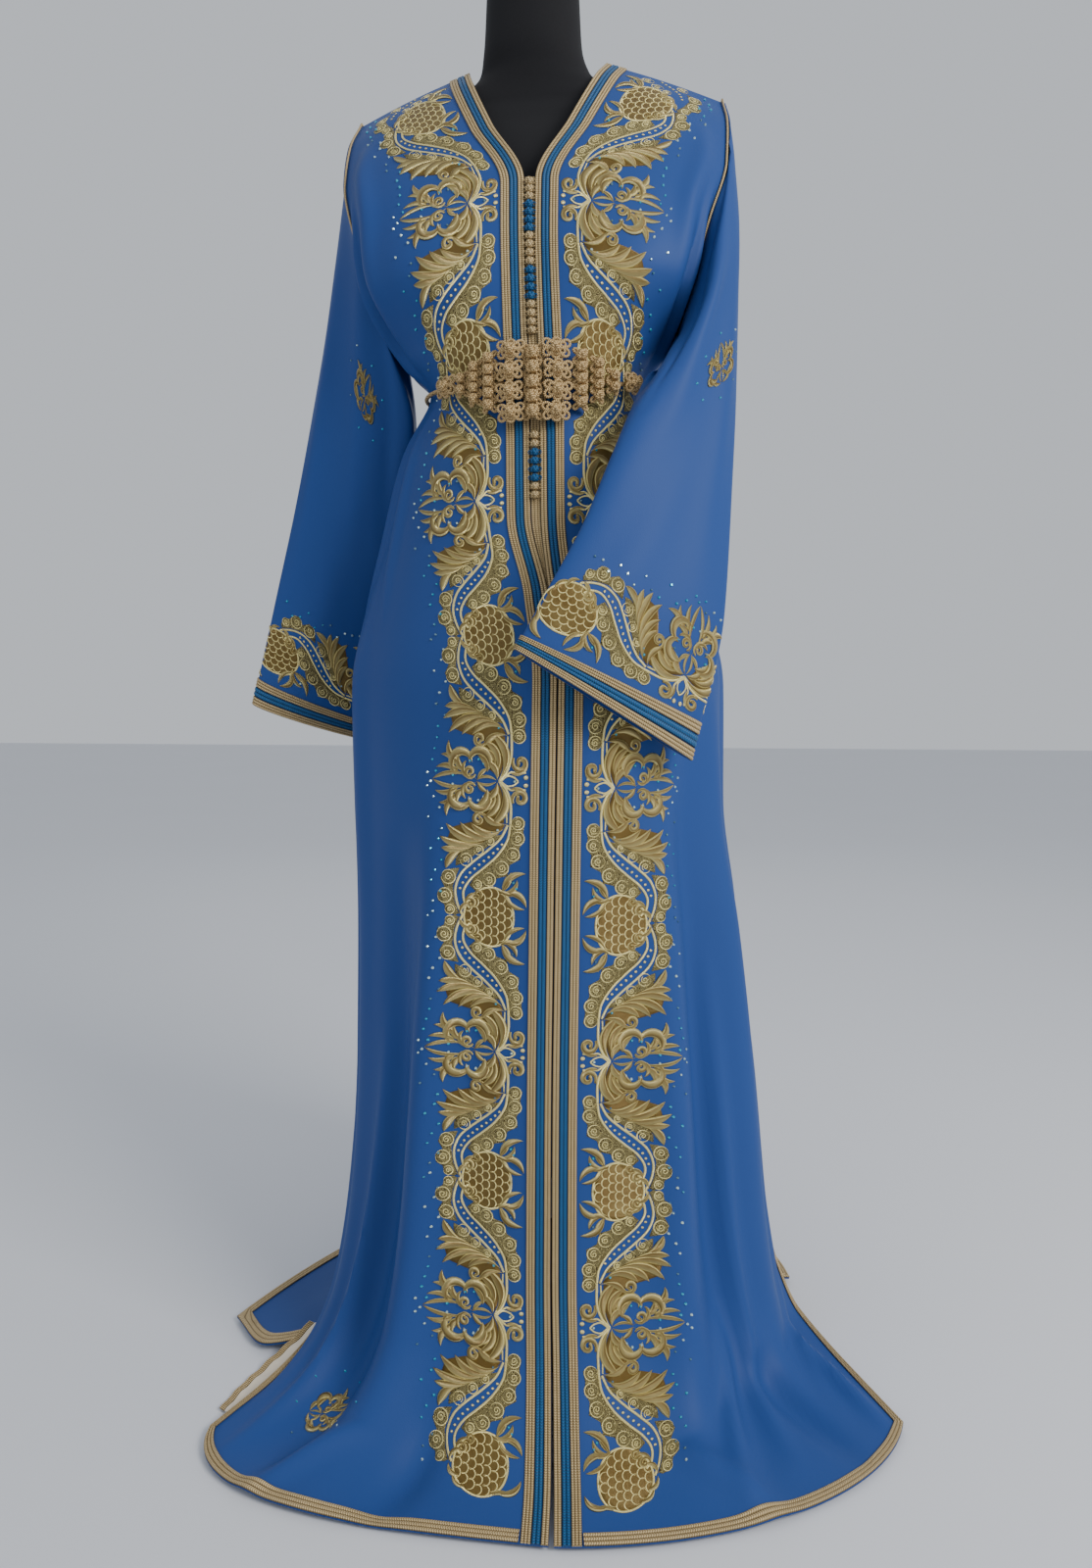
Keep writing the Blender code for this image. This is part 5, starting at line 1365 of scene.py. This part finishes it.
def lotus():
    """The flower on its stalk, with the scrolls between it and the front edge."""
    half = [
        petal((33, 1), (42, 47), 12.0, 10.0, 0.62, 14),
        petal((35, 8), (50, 39), 8.0, 8.5, 0.60, 12),
        petal((37, 14), (52, 31), 5.0, 6.0, 0.55),
        thread([(33, 0), (25, 9), (20, 24), (20, 46)], 3.0),
        thread([(33, 0), (29, 9), (25, 24), (24, 44)], 1.8),
        volute((10, 18), 9.0, 35, -1.3, 5.2),
        crescent((15, 21), 13.5, 195, 300, 5.0, 0.5),
        thread([(27, 4), (20, 9), (13, 8), (4, 9)], 2.4),
        thread([(31, 0), (24, 5), (17, 4), (12, 0)], 2.0),
        bud((4, 4), 2.4),
    ]
    return lotus_flower() + half + mirrored(half)


LOBES = [  # root across and along, tip across and along, bow, width
    (24, 45, 50, 34, 5.0, 7.5), (27, 50, 64, 45, 8.5, 8.5), (32, 55, 76, 45, 9.5, 9.0),
    (40, 60, 92, 47, 9.0, 9.5), (49, 65, 99, 61, 6.0, 9.5), (60, 70, 97, 73, 2.5, 9.0),
    (70, 74, 91, 95, -5.0, 9.5),
]


def acanthus():
    """A leaf that sweeps outwards from the stalk, its lobes nested round a scroll."""
    stitches = [volute((55, 41), 7.6, 190, 1.3, 4.6)]
    for root_u, root_v, tip_u, tip_v, bow, width in LOBES:
        stitches.append(petal((root_u, root_v), (tip_u, tip_v), bow, width, 0.62, 12))
    return stitches


POD_NEAR = [(20, 46), (23, 62), (34, 79), (49, 93), (63, 105), (71, 118), (70, 130), (64, 137)]
POD_FAR = [(23, 46), (31, 61), (46, 75), (61, 87), (74, 100), (80, 116), (78, 132), (72, 145)]
POD_ROW = [(29, 67), (41, 79), (55, 90.5), (68, 103), (75, 116)]


def pod():
    """A long seed pod: two outlines, and a row of eyelets between them."""
    stitches = [thread(POD_NEAR, 2.8), thread(POD_FAR, 2.8)]
    row = smooth_line(POD_ROW, 30)
    along = np.r_[0, np.cumsum(np.linalg.norm(np.diff(row, axis=0), axis=1))]
    for place in np.linspace(0, along[-1], 11):
        stitches.append(bud((np.interp(place, along, row[:, 0]), np.interp(place, along, row[:, 1])), 1.45))
    stitches += [volute((63, 131), 6.2, 20, -1.3, 3.8), volute((55, 121), 5.2, 60, 1.2, 3.2)]
    return stitches


CURLS = [  # centre across, centre along, radius, start: the fine spirals on the filigree
    (42, 64, 4.0, 200), (55, 74, 5.2, 160), (69, 85, 6.6, 120), (12, 44, 6.8, 40), (12, 60, 7.0, 40),
    (17, 77, 7.0, 60), (29, 92, 7.2, 60), (43, 105, 7.0, 60), (56, 111, 4.6, 60), (88, 104, 7.6, 180),
    (92, 124, 7.8, 150), (86, 139, 5.0, 150),
]


def curls():
    """The fine spirals, each in its own ring."""
    stitches = []
    for across, along, radius, start in CURLS:
        stitches.append(spiral((across, along), radius * 0.60, start, 1.5, 1.15, 18))
        stitches.append(crescent((across, along), radius, 0, 350, 1.6, 0.5, 16, PALE))
    return stitches


def leaf_shade_backs():
    """Outlines of the deep satin laid under the leaf's lobes and under the flower's side leaves: a dark
    layer of painted shade between them.
    """
    leaf = [(26, 47), (48, 38), (62, 44), (74, 47), (86, 51), (89, 61), (89, 72), (85, 86), (72, 76),
            (60, 71), (46, 63), (34, 56)]
    calyx = [(33, 4), (45, 12), (50, 26), (50, 36), (42, 45), (27, 44), (27, 24), (30, 11)]
    return [leaf, calyx]


def filigree():
    """Outlines of the patches of fine looped thread behind the spirals."""
    upper = [(27, 56), (38, 58), (50, 62), (62, 68), (74, 75), (80, 84), (80, 92), (70, 88), (60, 80),
             (46, 71), (34, 62)]
    lower = [(21, 52), (24, 64), (33, 78), (46, 91), (60, 104), (65, 112), (58, 118), (48, 114), (40, 113),
             (34, 103), (23, 100), (20, 88), (9, 82), (10, 70), (5, 62), (6, 52), (4, 42), (10, 37),
             (18, 40)]
    outer = [(76, 94), (84, 95), (93, 98), (97, 106), (92, 115), (100, 122), (99, 130), (92, 134), (90, 143),
             (80, 145), (76, 143), (81, 130), (83, 114), (79, 102)]
    return [upper, lower, outer]


def sprig():
    """The leaves where one branch ends, beside the fruit."""
    return [petal((28, 117), (3, 97), 6.5, 8.0, 0.5, 12), petal((27, 118), (12, 104), -5.0, 6.0, 0.5),
            petal((27, 116), (19, 96), -2.0, 5.5, 0.5), petal((26, 121), (4, 135), -4.0, 5.5, 0.5)]


FRUIT = (43.0, 27.5, 31.5)       # the fruit's middle across the band, and half its size across and along


def fruit_rim(count):
    """The fruit's outline, a little fuller towards the front edge."""
    middle, half_long, half_wide = FRUIT
    a = np.linspace(-np.pi, np.pi, count)
    return np.stack([middle + half_long * np.cos(a), half_wide * np.sin(a) * (1 - 0.10 * np.cos(a))], -1)


def pomegranate():
    """A fruit of overlapping scales, its crown outwards and two hooked leaves at the front edge."""
    middle, half_long, half_wide = FRUIT
    stitches = [Stitch(fruit_rim(41), np.full(41, 2.6), PALE)]
    for row, count in enumerate((4, 5, 6, 6, 5, 4, 3)):
        across = middle - 22.5 + 7.4 * row
        for k in range(count):
            along = 10.0 * (k - (count - 1) / 2)
            if ((across - middle) / half_long) ** 2 + (along / half_wide) ** 2 < 0.88:
                stitches.append(crescent((across + 2.5, along), 5.6, 75, 285, 1.7, 0.5, 10, PALE))
    hooks = [petal((25, 26), (2, 12), -6.5, 7.5, 0.45, 12), petal((31, 30), (10, 28), 3.5, 5.5, 0.5)]
    crown = [petal((63, 13), (75, 1), 4.0, 5.5), petal((56, 24), (70, 12), 3.5, 4.5)]
    return stitches + hooks + mirrored(hooks) + crown + mirrored(crown)


def branch():
    """One side of the motif: leaf, pod, spirals and sprig."""
    return acanthus() + pod() + curls() + sprig()


# ------------------------------------------------------------------ the embroidery on the cloth
def within(stitches, low, high, margin=1.0):
    """The stitches that stay between two ends of a band."""
    return [s for s in stitches if s.line[:, 1].min() > low + margin and s.line[:, 1].max() < high - margin]


def moved(stitches, along):
    """The same stitching, that far along the band."""
    return [s._replace(line=s.line + np.array([0.0, along])) for s in stitches]


# slot 0: the dark satin under the leaves, painted shade between the lobes
Net = namedtuple("Net", "outline slot")     # a patch laid under the stitches: 1 for filigree, 0 for satin


def repeats(first, last, flowers, fruits):
    """The stitches, the patches and the whole fruits' axes between two ends of a band."""
    stitches, nets = [], []
    for axis in flowers:
        stitches += moved(lotus(), axis)
        for flip in (1.0, -1.0):
            side = branch() if flip > 0 else mirrored(branch())
            stitches += moved(side, axis)
            nets += [Net(np.array(outline, float) * np.array([1.0, flip]) + np.array([0.0, axis]), slot)
                     for slot, group in ((1, filigree()), (0, leaf_shade_backs())) for outline in group]
    for axis in fruits:
        stitches += moved(pomegranate(), axis)
    nets = [n for n in nets if n.outline[:, 1].min() > first and n.outline[:, 1].max() < last]
    fruit_axes = [f for f in fruits if f - 32 > first and f + 32 < last]
    return within(stitches, first, last), nets, fruit_axes


def embroider(name, place, stitches, nets, fruit_axes, thread_paint, net_paint):
    """One band of embroidery: the patches first, then the stitches over them."""
    piece = Piece()
    for net in nets:
        # the satin patches take over 0.02, the deep end of the satin's colour: painted shade between the
        # lobes
        patch(piece, net.outline, place, NET_LIFT, net.slot, over=None if net.slot else 0.02)
    for axis in fruit_axes:
        # the fruit's satin patch takes over 0.25, mostly the painted shade colour of the satin
        patch(piece, fruit_rim(36)[:-1] + np.array([0.0, axis]), place, FRUIT_LIFT, 0, over=0.25)
    sew(piece, stitches, place)
    return piece.make(name, [thread_paint, net_paint])


def gem_shape():
    """One cut stone, a unit across: eight facets round a flat table."""
    bpy.ops.object.select_all(action="DESELECT")
    bpy.ops.mesh.primitive_cone_add(vertices=8, radius1=0.5, radius2=0.28, depth=0.42, location=(0, 0, 0.21))
    obj = bpy.context.object
    spots = np.array([v.co for v in obj.data.vertices]) + np.array([0, 0, 0.21])
    faces = [list(p.vertices) for p in obj.data.polygons]
    bpy.data.objects.remove(obj, do_unlink=True)
    return spots, faces


def set_gems(name, place, spots, size, paint):
    """Cut stones at places (across, along) in millimetres."""
    shape, faces = gem_shape()
    quads = np.array([f for f in faces if len(f) == 4])
    caps = [f for f in faces if len(f) > 4]
    fans = np.array([(cap[0], cap[k], cap[k + 1]) for cap in caps for k in range(1, len(cap) - 1)])
    spots = np.asarray(spots, float)
    here = place(spots[:, 0], spots[:, 1], np.full(len(spots), 0.25))
    side = unit(place(spots[:, 0] + 1.0, spots[:, 1], np.full(len(spots), 0.25)) - here)
    above = place(spots[:, 0], spots[:, 1], np.full(len(spots), 1.25))
    out = unit(above - here)
    up = np.cross(out, side)
    piece = Piece()
    for k in range(len(spots)):
        grow = size * MM * (1.0 + 0.12 * math.sin(7.1 * k))
        mesh = here[k] + grow * (shape[:, :1] * side[k] + shape[:, 1:2] * up[k] + shape[:, 2:] * out[k])
        tint = 0.5 + 0.5 * math.sin(12.9898 * k + 4.1)
        piece.add(mesh, [quads, fans], np.tile([tint, 0.5], (len(mesh), 1)))
    obj = piece.make(name, [paint])
    obj.data.shade_flat()
    return obj


def gem_places(first, last, flowers):
    """Stones along the outer edge of a band, in the flowers' gaps and beside the front edge."""
    spots = []
    for axis in flowers:
        for flip in (1.0, -1.0):
            for k in range(13):
                along = 8 + 11.2 * k
                out = 108 + 7 * math.sin(k * 1.9 + flip) if k < 4 else 101 + 5 * math.sin(k * 2.3 + flip)
                spots.append((out + (6 if k % 3 == 0 else 0), axis + flip * along))
            spots += [(56, axis + flip * 21), (50, axis + flip * 17), (66, axis + flip * 19.5),
                      (86, axis + flip * 4.5), (34, axis + flip * 52), (40, axis + flip * 55),
                      (16, axis + flip * 107), (13, axis + flip * 113)]
        spots += [(16, axis), (115, axis + 3), (120, axis - 6)]
    return [s for s in spots if first + 2 < s[1] < last - 2]


# Single flowers: the surface of each, the point and the stretch of surface it is worked at, and its turn
Single = namedtuple("Single", "surface target s_range t_range degrees")
SINGLES = (
    Single(TUBES["left"], (0.211, -0.111, 1.116), (0.0, 0.5), (1.0, 5.0), -80),
    Single(TUBES["right"], (-0.202, -0.022, 1.123), (0.0, 0.5), (1.0, 5.0), -80),
    Single(PANELS["front_right"], (-0.187, -0.271, 0.015), (0.4, 1.0), (14.0, 18.0), 200),
)
SINGLE_SCALE = 0.66
SINGLE_MIDDLE, SINGLE_RING = 70.0, 62.0     # the flower's middle in its drawing, and its ring of stones


# ------------------------------------------------------------------ the form and the lining
def form_body(paint):
    """The jersey torso and neck."""
    rows, sides = 90, 72
    t = np.linspace(0, len(TORSO) - 1, rows)
    row = smooth(TORSO, t)
    a = np.linspace(0, 2 * np.pi, sides, endpoint=False)
    depth = np.where(np.sin(a)[None, :] < 0, row.front[:, None], row.back[:, None])
    rings = points(row.mid_x[:, None] + row.half_width[:, None] * np.cos(a), depth * np.sin(a) + 0.004,
                   row.z[:, None])
    piece = Piece()
    piece.loft(rings, np.zeros(rings.shape[:2] + (2,)))
    obj = piece.make("form_body", [paint], 50)
    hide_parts("form_torso")
    return obj


def lining_strip(satin, gold):
    """The corner of the lining that lies on the floor past the right front's slit, and its braid."""
    count = 60
    t = np.linspace(*LINING_RUN, count)
    rail = PANELS["front_right"].bare(np.ones(count), t)
    ahead = unit(np.gradient(rail, axis=0))
    out = unit(np.cross(ahead, np.array([0, 0, 1.0])))
    out = np.where(out[:, :1] > 0, -out, out)
    share = (t - t[0]) / (t[-1] - t[0])
    spread = 0.35 + 0.65 * np.sin(np.pi * np.clip(0.08 + 0.88 * share, 0, 1))
    spots = []
    for reach in np.linspace(*LINING_REACH, 16):
        spot = rail + out * (reach * (spread if reach > 0 else np.ones(count)))[:, None]
        spot[:, 2] = np.maximum(rail[:, 2] - 0.0046 - 0.25 * max(reach, 0.0), 0.0026)
        spots.append(spot)
    cloth = np.stack(spots, 1)
    cloth[..., 2] += 0.0009 * np.sin(share * 34)[:, None]
    thick = np.array([0, 0, 0.0009])
    piece = Piece()
    piece.net(cloth + thick / 2, cloth - thick / 2, np.zeros(cloth.shape[:2] + (2,)))
    lining = work(piece, "lining", satin, 50)
    last = cloth[:, -1]

    def place(over, along, lift):
        k = np.clip((along * (count - 1)).astype(int), 0, count - 1)
        spot = last[k] + out[k] * (0.0010 + 0.0075 * over)[..., None]
        spot[..., 2] = np.maximum(last[k][..., 2] - 0.0010, 0.0012) + lift
        return spot
    piece = Piece()
    ribbed(piece, place, (0.0, 1.0), count - 1, 3, BRAID, 0.0002)
    return lining, work(piece, "lining_braid", gold, 60)


# ------------------------------------------------------------------ what a user may change
def colour_setting(name, text, rgb):
    return FloatVectorProperty(name=name, description=text, subtype="COLOR", size=3, min=0.0, max=1.0,
                               default=rgb)


class ClothSettings(bpy.types.PropertyGroup):
    blue: colour_setting("Cloth", "Colour of the crepe", (0.027, 0.074, 0.262))
    rows: IntProperty(name="Rows", description="Rows of points down each panel", default=201,
                      min=60, max=400)


class TrimSettings(bpy.types.PropertyGroup):
    # Lit and shaded colours of each thread: the lit one also paints the highlight on each stitch's crest,
    # the deep one paints the shade between stitches and in the grooves between ribs
    gold_lit: colour_setting("Gold, lit", "Colour of the gold braid's thread", (0.84, 0.66, 0.36))
    gold_shade: colour_setting("Gold, deep", "Colour of the gold braid between its stitches",
                              (0.24, 0.155, 0.060))
    blue_lit: colour_setting("Blue, lit", "Colour of the blue braid's thread", (0.008, 0.160, 0.400))
    blue_shade: colour_setting("Blue, deep", "Colour of the blue braid between its stitches",
                              (0.003, 0.035, 0.110))
    lining: colour_setting("Lining", "Colour of the satin lining", (0.78, 0.68, 0.52))


class EmbroiderySettings(bpy.types.PropertyGroup):
    # pale: the outline thread's colour, partly its own and partly a painted highlight, also painted along
    # the rim of each satin stitch's lit flank; deep: painted shade on each satin stitch's shaded flank and
    # on the dark satin under the leaves
    pale: colour_setting("Outline thread", "Colour of the pale outline thread", (1.00, 0.86, 0.37))
    deep: colour_setting("Satin thread", "Colour of the satin inside a shape", (0.180, 0.108, 0.018))
    gem: FloatProperty(name="Stones", description="Size of a cut stone across, in millimetres", default=3.0,
                       min=1.0, max=6.0)


class BeltSettings(bpy.types.PropertyGroup):
    # Lit and shaded colours of the cord: painted highlight on each ply's crown, painted shade between the
    # plies
    cord_lit: colour_setting("Cord, lit", "Colour of the belt's cord", (0.78, 0.56, 0.27))
    cord_shade: colour_setting("Cord, deep", "Colour between the cord's plies", (0.22, 0.130, 0.045))


class StageSettings(bpy.types.PropertyGroup):
    floor: colour_setting("Floor", "Colour of the floor", (0.72, 0.735, 0.77))
    key: FloatProperty(name="Key light", description="Strength of the main light", subtype="POWER",
                       default=80.0, min=0.0, max=500.0)
    fill: FloatProperty(name="Fill light", description="Strength of the fill light", subtype="POWER",
                        default=6.0, min=0.0, max=500.0)


GROUPS = {"kaftan_cloth": ClothSettings, "kaftan_trim": TrimSettings,
          "kaftan_embroidery": EmbroiderySettings, "kaftan_belt": BeltSettings,
          "kaftan_stage": StageSettings}


def riding(obj, slot):
    """Fixes a piece to the part's one body; the slot is not used."""
    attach(obj, "root")
    return obj


def shared(name, maker, *args):
    """The material of that name, made the first time that it is asked for."""
    return bpy.data.materials.get(name) or maker(name, *args)


def gold_paint():
    trim = bpy.context.scene.kaftan_trim
    return shared("gold braid", braid, tuple(trim.gold_lit), tuple(trim.gold_shade), 2.3, 1.1, 0.45)


def blue_paint():
    trim = bpy.context.scene.kaftan_trim
    return shared("blue braid", braid, tuple(trim.blue_lit), tuple(trim.blue_shade), 2.6, 1.8, 0.10)


class KAFTAN_OT_cloth(bpy.types.Operator):
    """Makes the two fronts, the back and the sleeves as thin cloth with its creases"""
    bl_idname = "kaftan.cloth"
    bl_label = "Cloth"

    def execute(self, context):
        settings = context.scene.kaftan_cloth
        paint = crepe("crepe", tuple(settings.blue))
        for name in PANELS:
            riding(panel_cloth(name, paint, settings.rows), "crepe")
        for side in SIDES:
            riding(sleeve_cloth(side, paint), "crepe")
        for name in CUTS:
            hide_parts(name)
        return {"FINISHED"}


class KAFTAN_OT_braids(bpy.types.Operator):
    """Sews on the braids of the front edges, neck, hem, slits and cuffs, and the armhole piping"""
    bl_idname = "kaftan.braids"
    bl_label = "Braids"

    def execute(self, context):
        gold, blue = gold_paint(), blue_paint()
        made = []
        for side in SIDES:
            made += placket_braids(side, gold, blue) + cuff_braids(side, gold, blue)
            made += [hem_braid("front_" + side, gold), armhole_piping(side, gold)]
        made += [hem_braid("back", gold), placket_facing(gold)]
        made += neck_braids(bpy.data.objects["cloth_back"], gold, blue)
        for obj in made:
            riding(obj, "blue_braid" if "blue" in obj.name else "gold_braid")
        satin = satin_lining("lining satin", tuple(context.scene.kaftan_trim.lining))
        lining, edging = lining_strip(satin, gold)
        riding(lining, "lining_satin")
        riding(edging, "gold_braid")
        return {"FINISHED"}


class KAFTAN_OT_embroidery(bpy.types.Operator):
    """Embroiders the bands of the fronts and cuffs and the single flowers, and sets the stones"""
    bl_idname = "kaftan.embroidery"
    bl_label = "Embroidery"

    def execute(self, context):
        settings = context.scene.kaftan_embroidery
        pale, deep = tuple(settings.pale), tuple(settings.deep)
        thread_paint = satin_thread("satin thread", pale, deep)
        net_paint = filigree_thread("filigree thread", tuple(0.46 * c for c in pale),
                                    tuple(0.32 * c for c in deep))
        stone = crystal("cut stones")
        for side in SIDES:
            chart = Chart(PANELS["front_" + side], BAND_WIDE, HEM, BAND_TRACK, axes=FLOWERS)
            first, last = chart.ends(4.0, 16.0)
            edge = PLACKET / MM + 1.0
            flowers = [k * REPEAT for k in range(-1, 5)]
            fruits = [(k + 0.5) * REPEAT for k in range(-2, 6)]
            stitches, nets, axes = repeats(first, last, flowers, fruits)

            def place(u, v, lift, chart=chart, edge=edge):
                return chart.place(u + edge, v, lift)
            obj = embroider("embroidery_front_" + side, place, stitches, nets, axes, thread_paint, net_paint)
            riding(obj, "gold_braid")
            spots = gem_places(first, last, flowers)
            riding(set_gems("stones_front_" + side, place, spots, settings.gem, stone), None)
        for side, start in (("left", 40.0), ("right", 163.0)):
            cuff = CuffBand(TUBES[side], cuff_edges(side)[3])
            chart = Chart(cuff, 200.0, 1.0, start=start, cols=61)

            def place(u, v, lift, chart=chart):
                return chart.place(u * 0.94 + 2.0, v, lift)
            stitches, nets, axes = repeats(-178, 178, [0.0], [-145.0, 145.0])
            obj = embroider("embroidery_cuff_" + side, place, stitches, nets, axes, thread_paint, net_paint)
            riding(obj, "gold_braid")
            spots = gem_places(-200, 200, [0.0])
            riding(set_gems("stones_cuff_" + side, place, spots, settings.gem, stone), None)
        for k, single in enumerate(SINGLES, 1):
            s, t = nearest(single.surface, single.target, single.s_range, single.t_range)
            spot = Spot(single.surface, s, t, single.degrees, SINGLE_SCALE, SINGLE_MIDDLE)
            piece = Piece()
            sew(piece, lotus_flower(), spot.place)
            riding(piece.make("embroidery_flower_%d" % k, [thread_paint]), "gold_braid")
            spots = [(SINGLE_MIDDLE + SINGLE_RING * math.cos(a), SINGLE_RING * math.sin(a))
                     for a in np.linspace(0, 5.4, 8)]
            riding(set_gems("stones_flower_%d" % k, spot.place, spots, settings.gem * 0.9, stone), None)
        return {"FINISHED"}


class KAFTAN_OT_buttons(bpy.types.Operator):
    """Ties the runs of knotted buttons down the front"""
    bl_idname = "kaftan.buttons"
    bl_label = "Buttons"

    def execute(self, context):
        trim = context.scene.kaftan_trim
        gold = twisted_cord("gold button cord", tuple(trim.gold_lit), tuple(trim.gold_shade), 1.6, 0.35)
        blue = twisted_cord("blue button cord", tuple(trim.blue_lit), tuple(trim.blue_shade), 1.6, 0.05)
        for run in BUTTON_RUNS:
            paint, slot = (gold, "gold_braid") if run.colour == "gold" else (blue, "blue_braid")
            riding(button_run(run, paint), slot)
        return {"FINISHED"}


class KAFTAN_OT_belt(bpy.types.Operator):
    """Ties the knotted belt plaque and its waist cord"""
    bl_idname = "kaftan.belt"
    bl_label = "Belt"

    def execute(self, context):
        settings = context.scene.kaftan_belt
        paint = twisted_cord("belt cord", tuple(settings.cord_lit), tuple(settings.cord_shade), 1.9, 0.25)
        riding(waist_cord(paint), "belt_cord")
        for knot in KNOTS:
            riding(flower_knot(knot, paint), "belt_cord")
        for column in BEAD_COLUMNS:
            riding(ball_column(column, paint), "belt_cord")
        return {"FINISHED"}


class KAFTAN_OT_form(bpy.types.Operator):
    """Covers the dress form in jersey and paints its stand"""
    bl_idname = "kaftan.form"
    bl_label = "Dress form"

    def execute(self, context):
        riding(form_body(jersey("form jersey", (0.012, 0.012, 0.014))), "form_cloth")
        steel = painted_steel("painted steel", (0.018, 0.018, 0.020))
        for name in ("neck_cap", "pole", "base"):
            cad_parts[name].data.materials.clear()
            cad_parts[name].data.materials.append(steel)
        return {"FINISHED"}


class KAFTAN_OT_sheets(bpy.types.Operator):
    """Takes no step: how each panel was cut and what is sewn to it are listed only in CUTS"""
    bl_idname = "kaftan.sheets"
    bl_label = "Cloth sheets"

    def execute(self, context):
        return {"FINISHED"}


class KAFTAN_OT_stage(bpy.types.Operator):
    """Lays the floor, and sets the lights and the camera"""
    bl_idname = "kaftan.stage"
    bl_label = "Stage"

    def execute(self, context):
        settings = context.scene.kaftan_stage
        bpy.ops.object.select_all(action="DESELECT")
        bpy.ops.mesh.primitive_plane_add(size=24.0, location=(0, 0, -0.0006))
        floor = context.object
        floor.name = "floor"
        floor.data.materials.append(plain_floor("floor", tuple(settings.floor)))
        key, fill, back = settings.key, settings.fill, settings.fill * 1.2
        for name, place, target, size, power, tint in (
                ("key light", (2.3, -1.6, 2.3), (0.0, -0.1, 0.75), 1.3, key, (1.0, 0.975, 0.94)),
                ("fill light", (-2.4, -2.0, 1.7), (0.0, -0.1, 0.75), 2.4, fill, (0.90, 0.95, 1.0)),
                ("back light", (-0.4, 2.6, 2.4), (0.0, 0.0, 0.9), 2.4, back, (0.95, 0.97, 1.0))):
            light = bpy.data.lights.new(name, "AREA")
            light.size, light.energy, light.color = size, power, tint
            lamp = bpy.data.objects.new(name, light)
            context.collection.objects.link(lamp)
            lamp.location = place
            lamp.rotation_euler = (Vector(target) - Vector(place)).to_track_quat("-Z", "Y").to_euler()
        world = bpy.data.worlds.new("studio")
        world.use_nodes = True
        world.node_tree.nodes["Background"].inputs["Color"].default_value = (0.80, 0.84, 0.90, 1.0)
        world.node_tree.nodes["Background"].inputs["Strength"].default_value = 0.74
        context.scene.world = world
        data = bpy.data.cameras.new("camera")
        data.lens, data.sensor_width = 23.625, 36.0
        camera = bpy.data.objects.new("camera", data)
        context.collection.objects.link(camera)
        camera.location = (0.165, -1.249, 0.776)
        camera.rotation_euler = (math.radians(90 - 5.4), 0.0, math.radians(7.0))
        context.scene.camera = camera
        return {"FINISHED"}


OPERATORS = (KAFTAN_OT_form, KAFTAN_OT_cloth, KAFTAN_OT_braids, KAFTAN_OT_embroidery, KAFTAN_OT_buttons,
             KAFTAN_OT_belt, KAFTAN_OT_sheets, KAFTAN_OT_stage)


class KAFTAN_PT_sidebar(bpy.types.Panel):
    bl_idname = "KAFTAN_PT_sidebar"
    bl_label = "Moroccan Kaftan"
    bl_space_type = "VIEW_3D"
    bl_region_type = "UI"
    bl_category = "Kaftan"

    def draw(self, context):
        for name, group in GROUPS.items():
            box = self.layout.box()
            for key in group.__annotations__:
                box.prop(getattr(context.scene, name), key)
        for operator in OPERATORS:
            self.layout.operator(operator.bl_idname)


CLASSES = tuple(GROUPS.values()) + OPERATORS + (KAFTAN_PT_sidebar,)


def register():
    for cls in CLASSES:
        bpy.utils.register_class(cls)
    for name, group in GROUPS.items():
        setattr(bpy.types.Scene, name, PointerProperty(type=group))


def unregister():
    for name in GROUPS:
        delattr(bpy.types.Scene, name)
    for cls in reversed(CLASSES):
        bpy.utils.unregister_class(cls)


def main():
    register()
    bpy.ops.object.select_all(action="DESELECT")
    for operator in OPERATORS:
        group, name = operator.bl_idname.split(".")
        getattr(getattr(bpy.ops, group), name)()


if __name__ == "__main__":
    main()
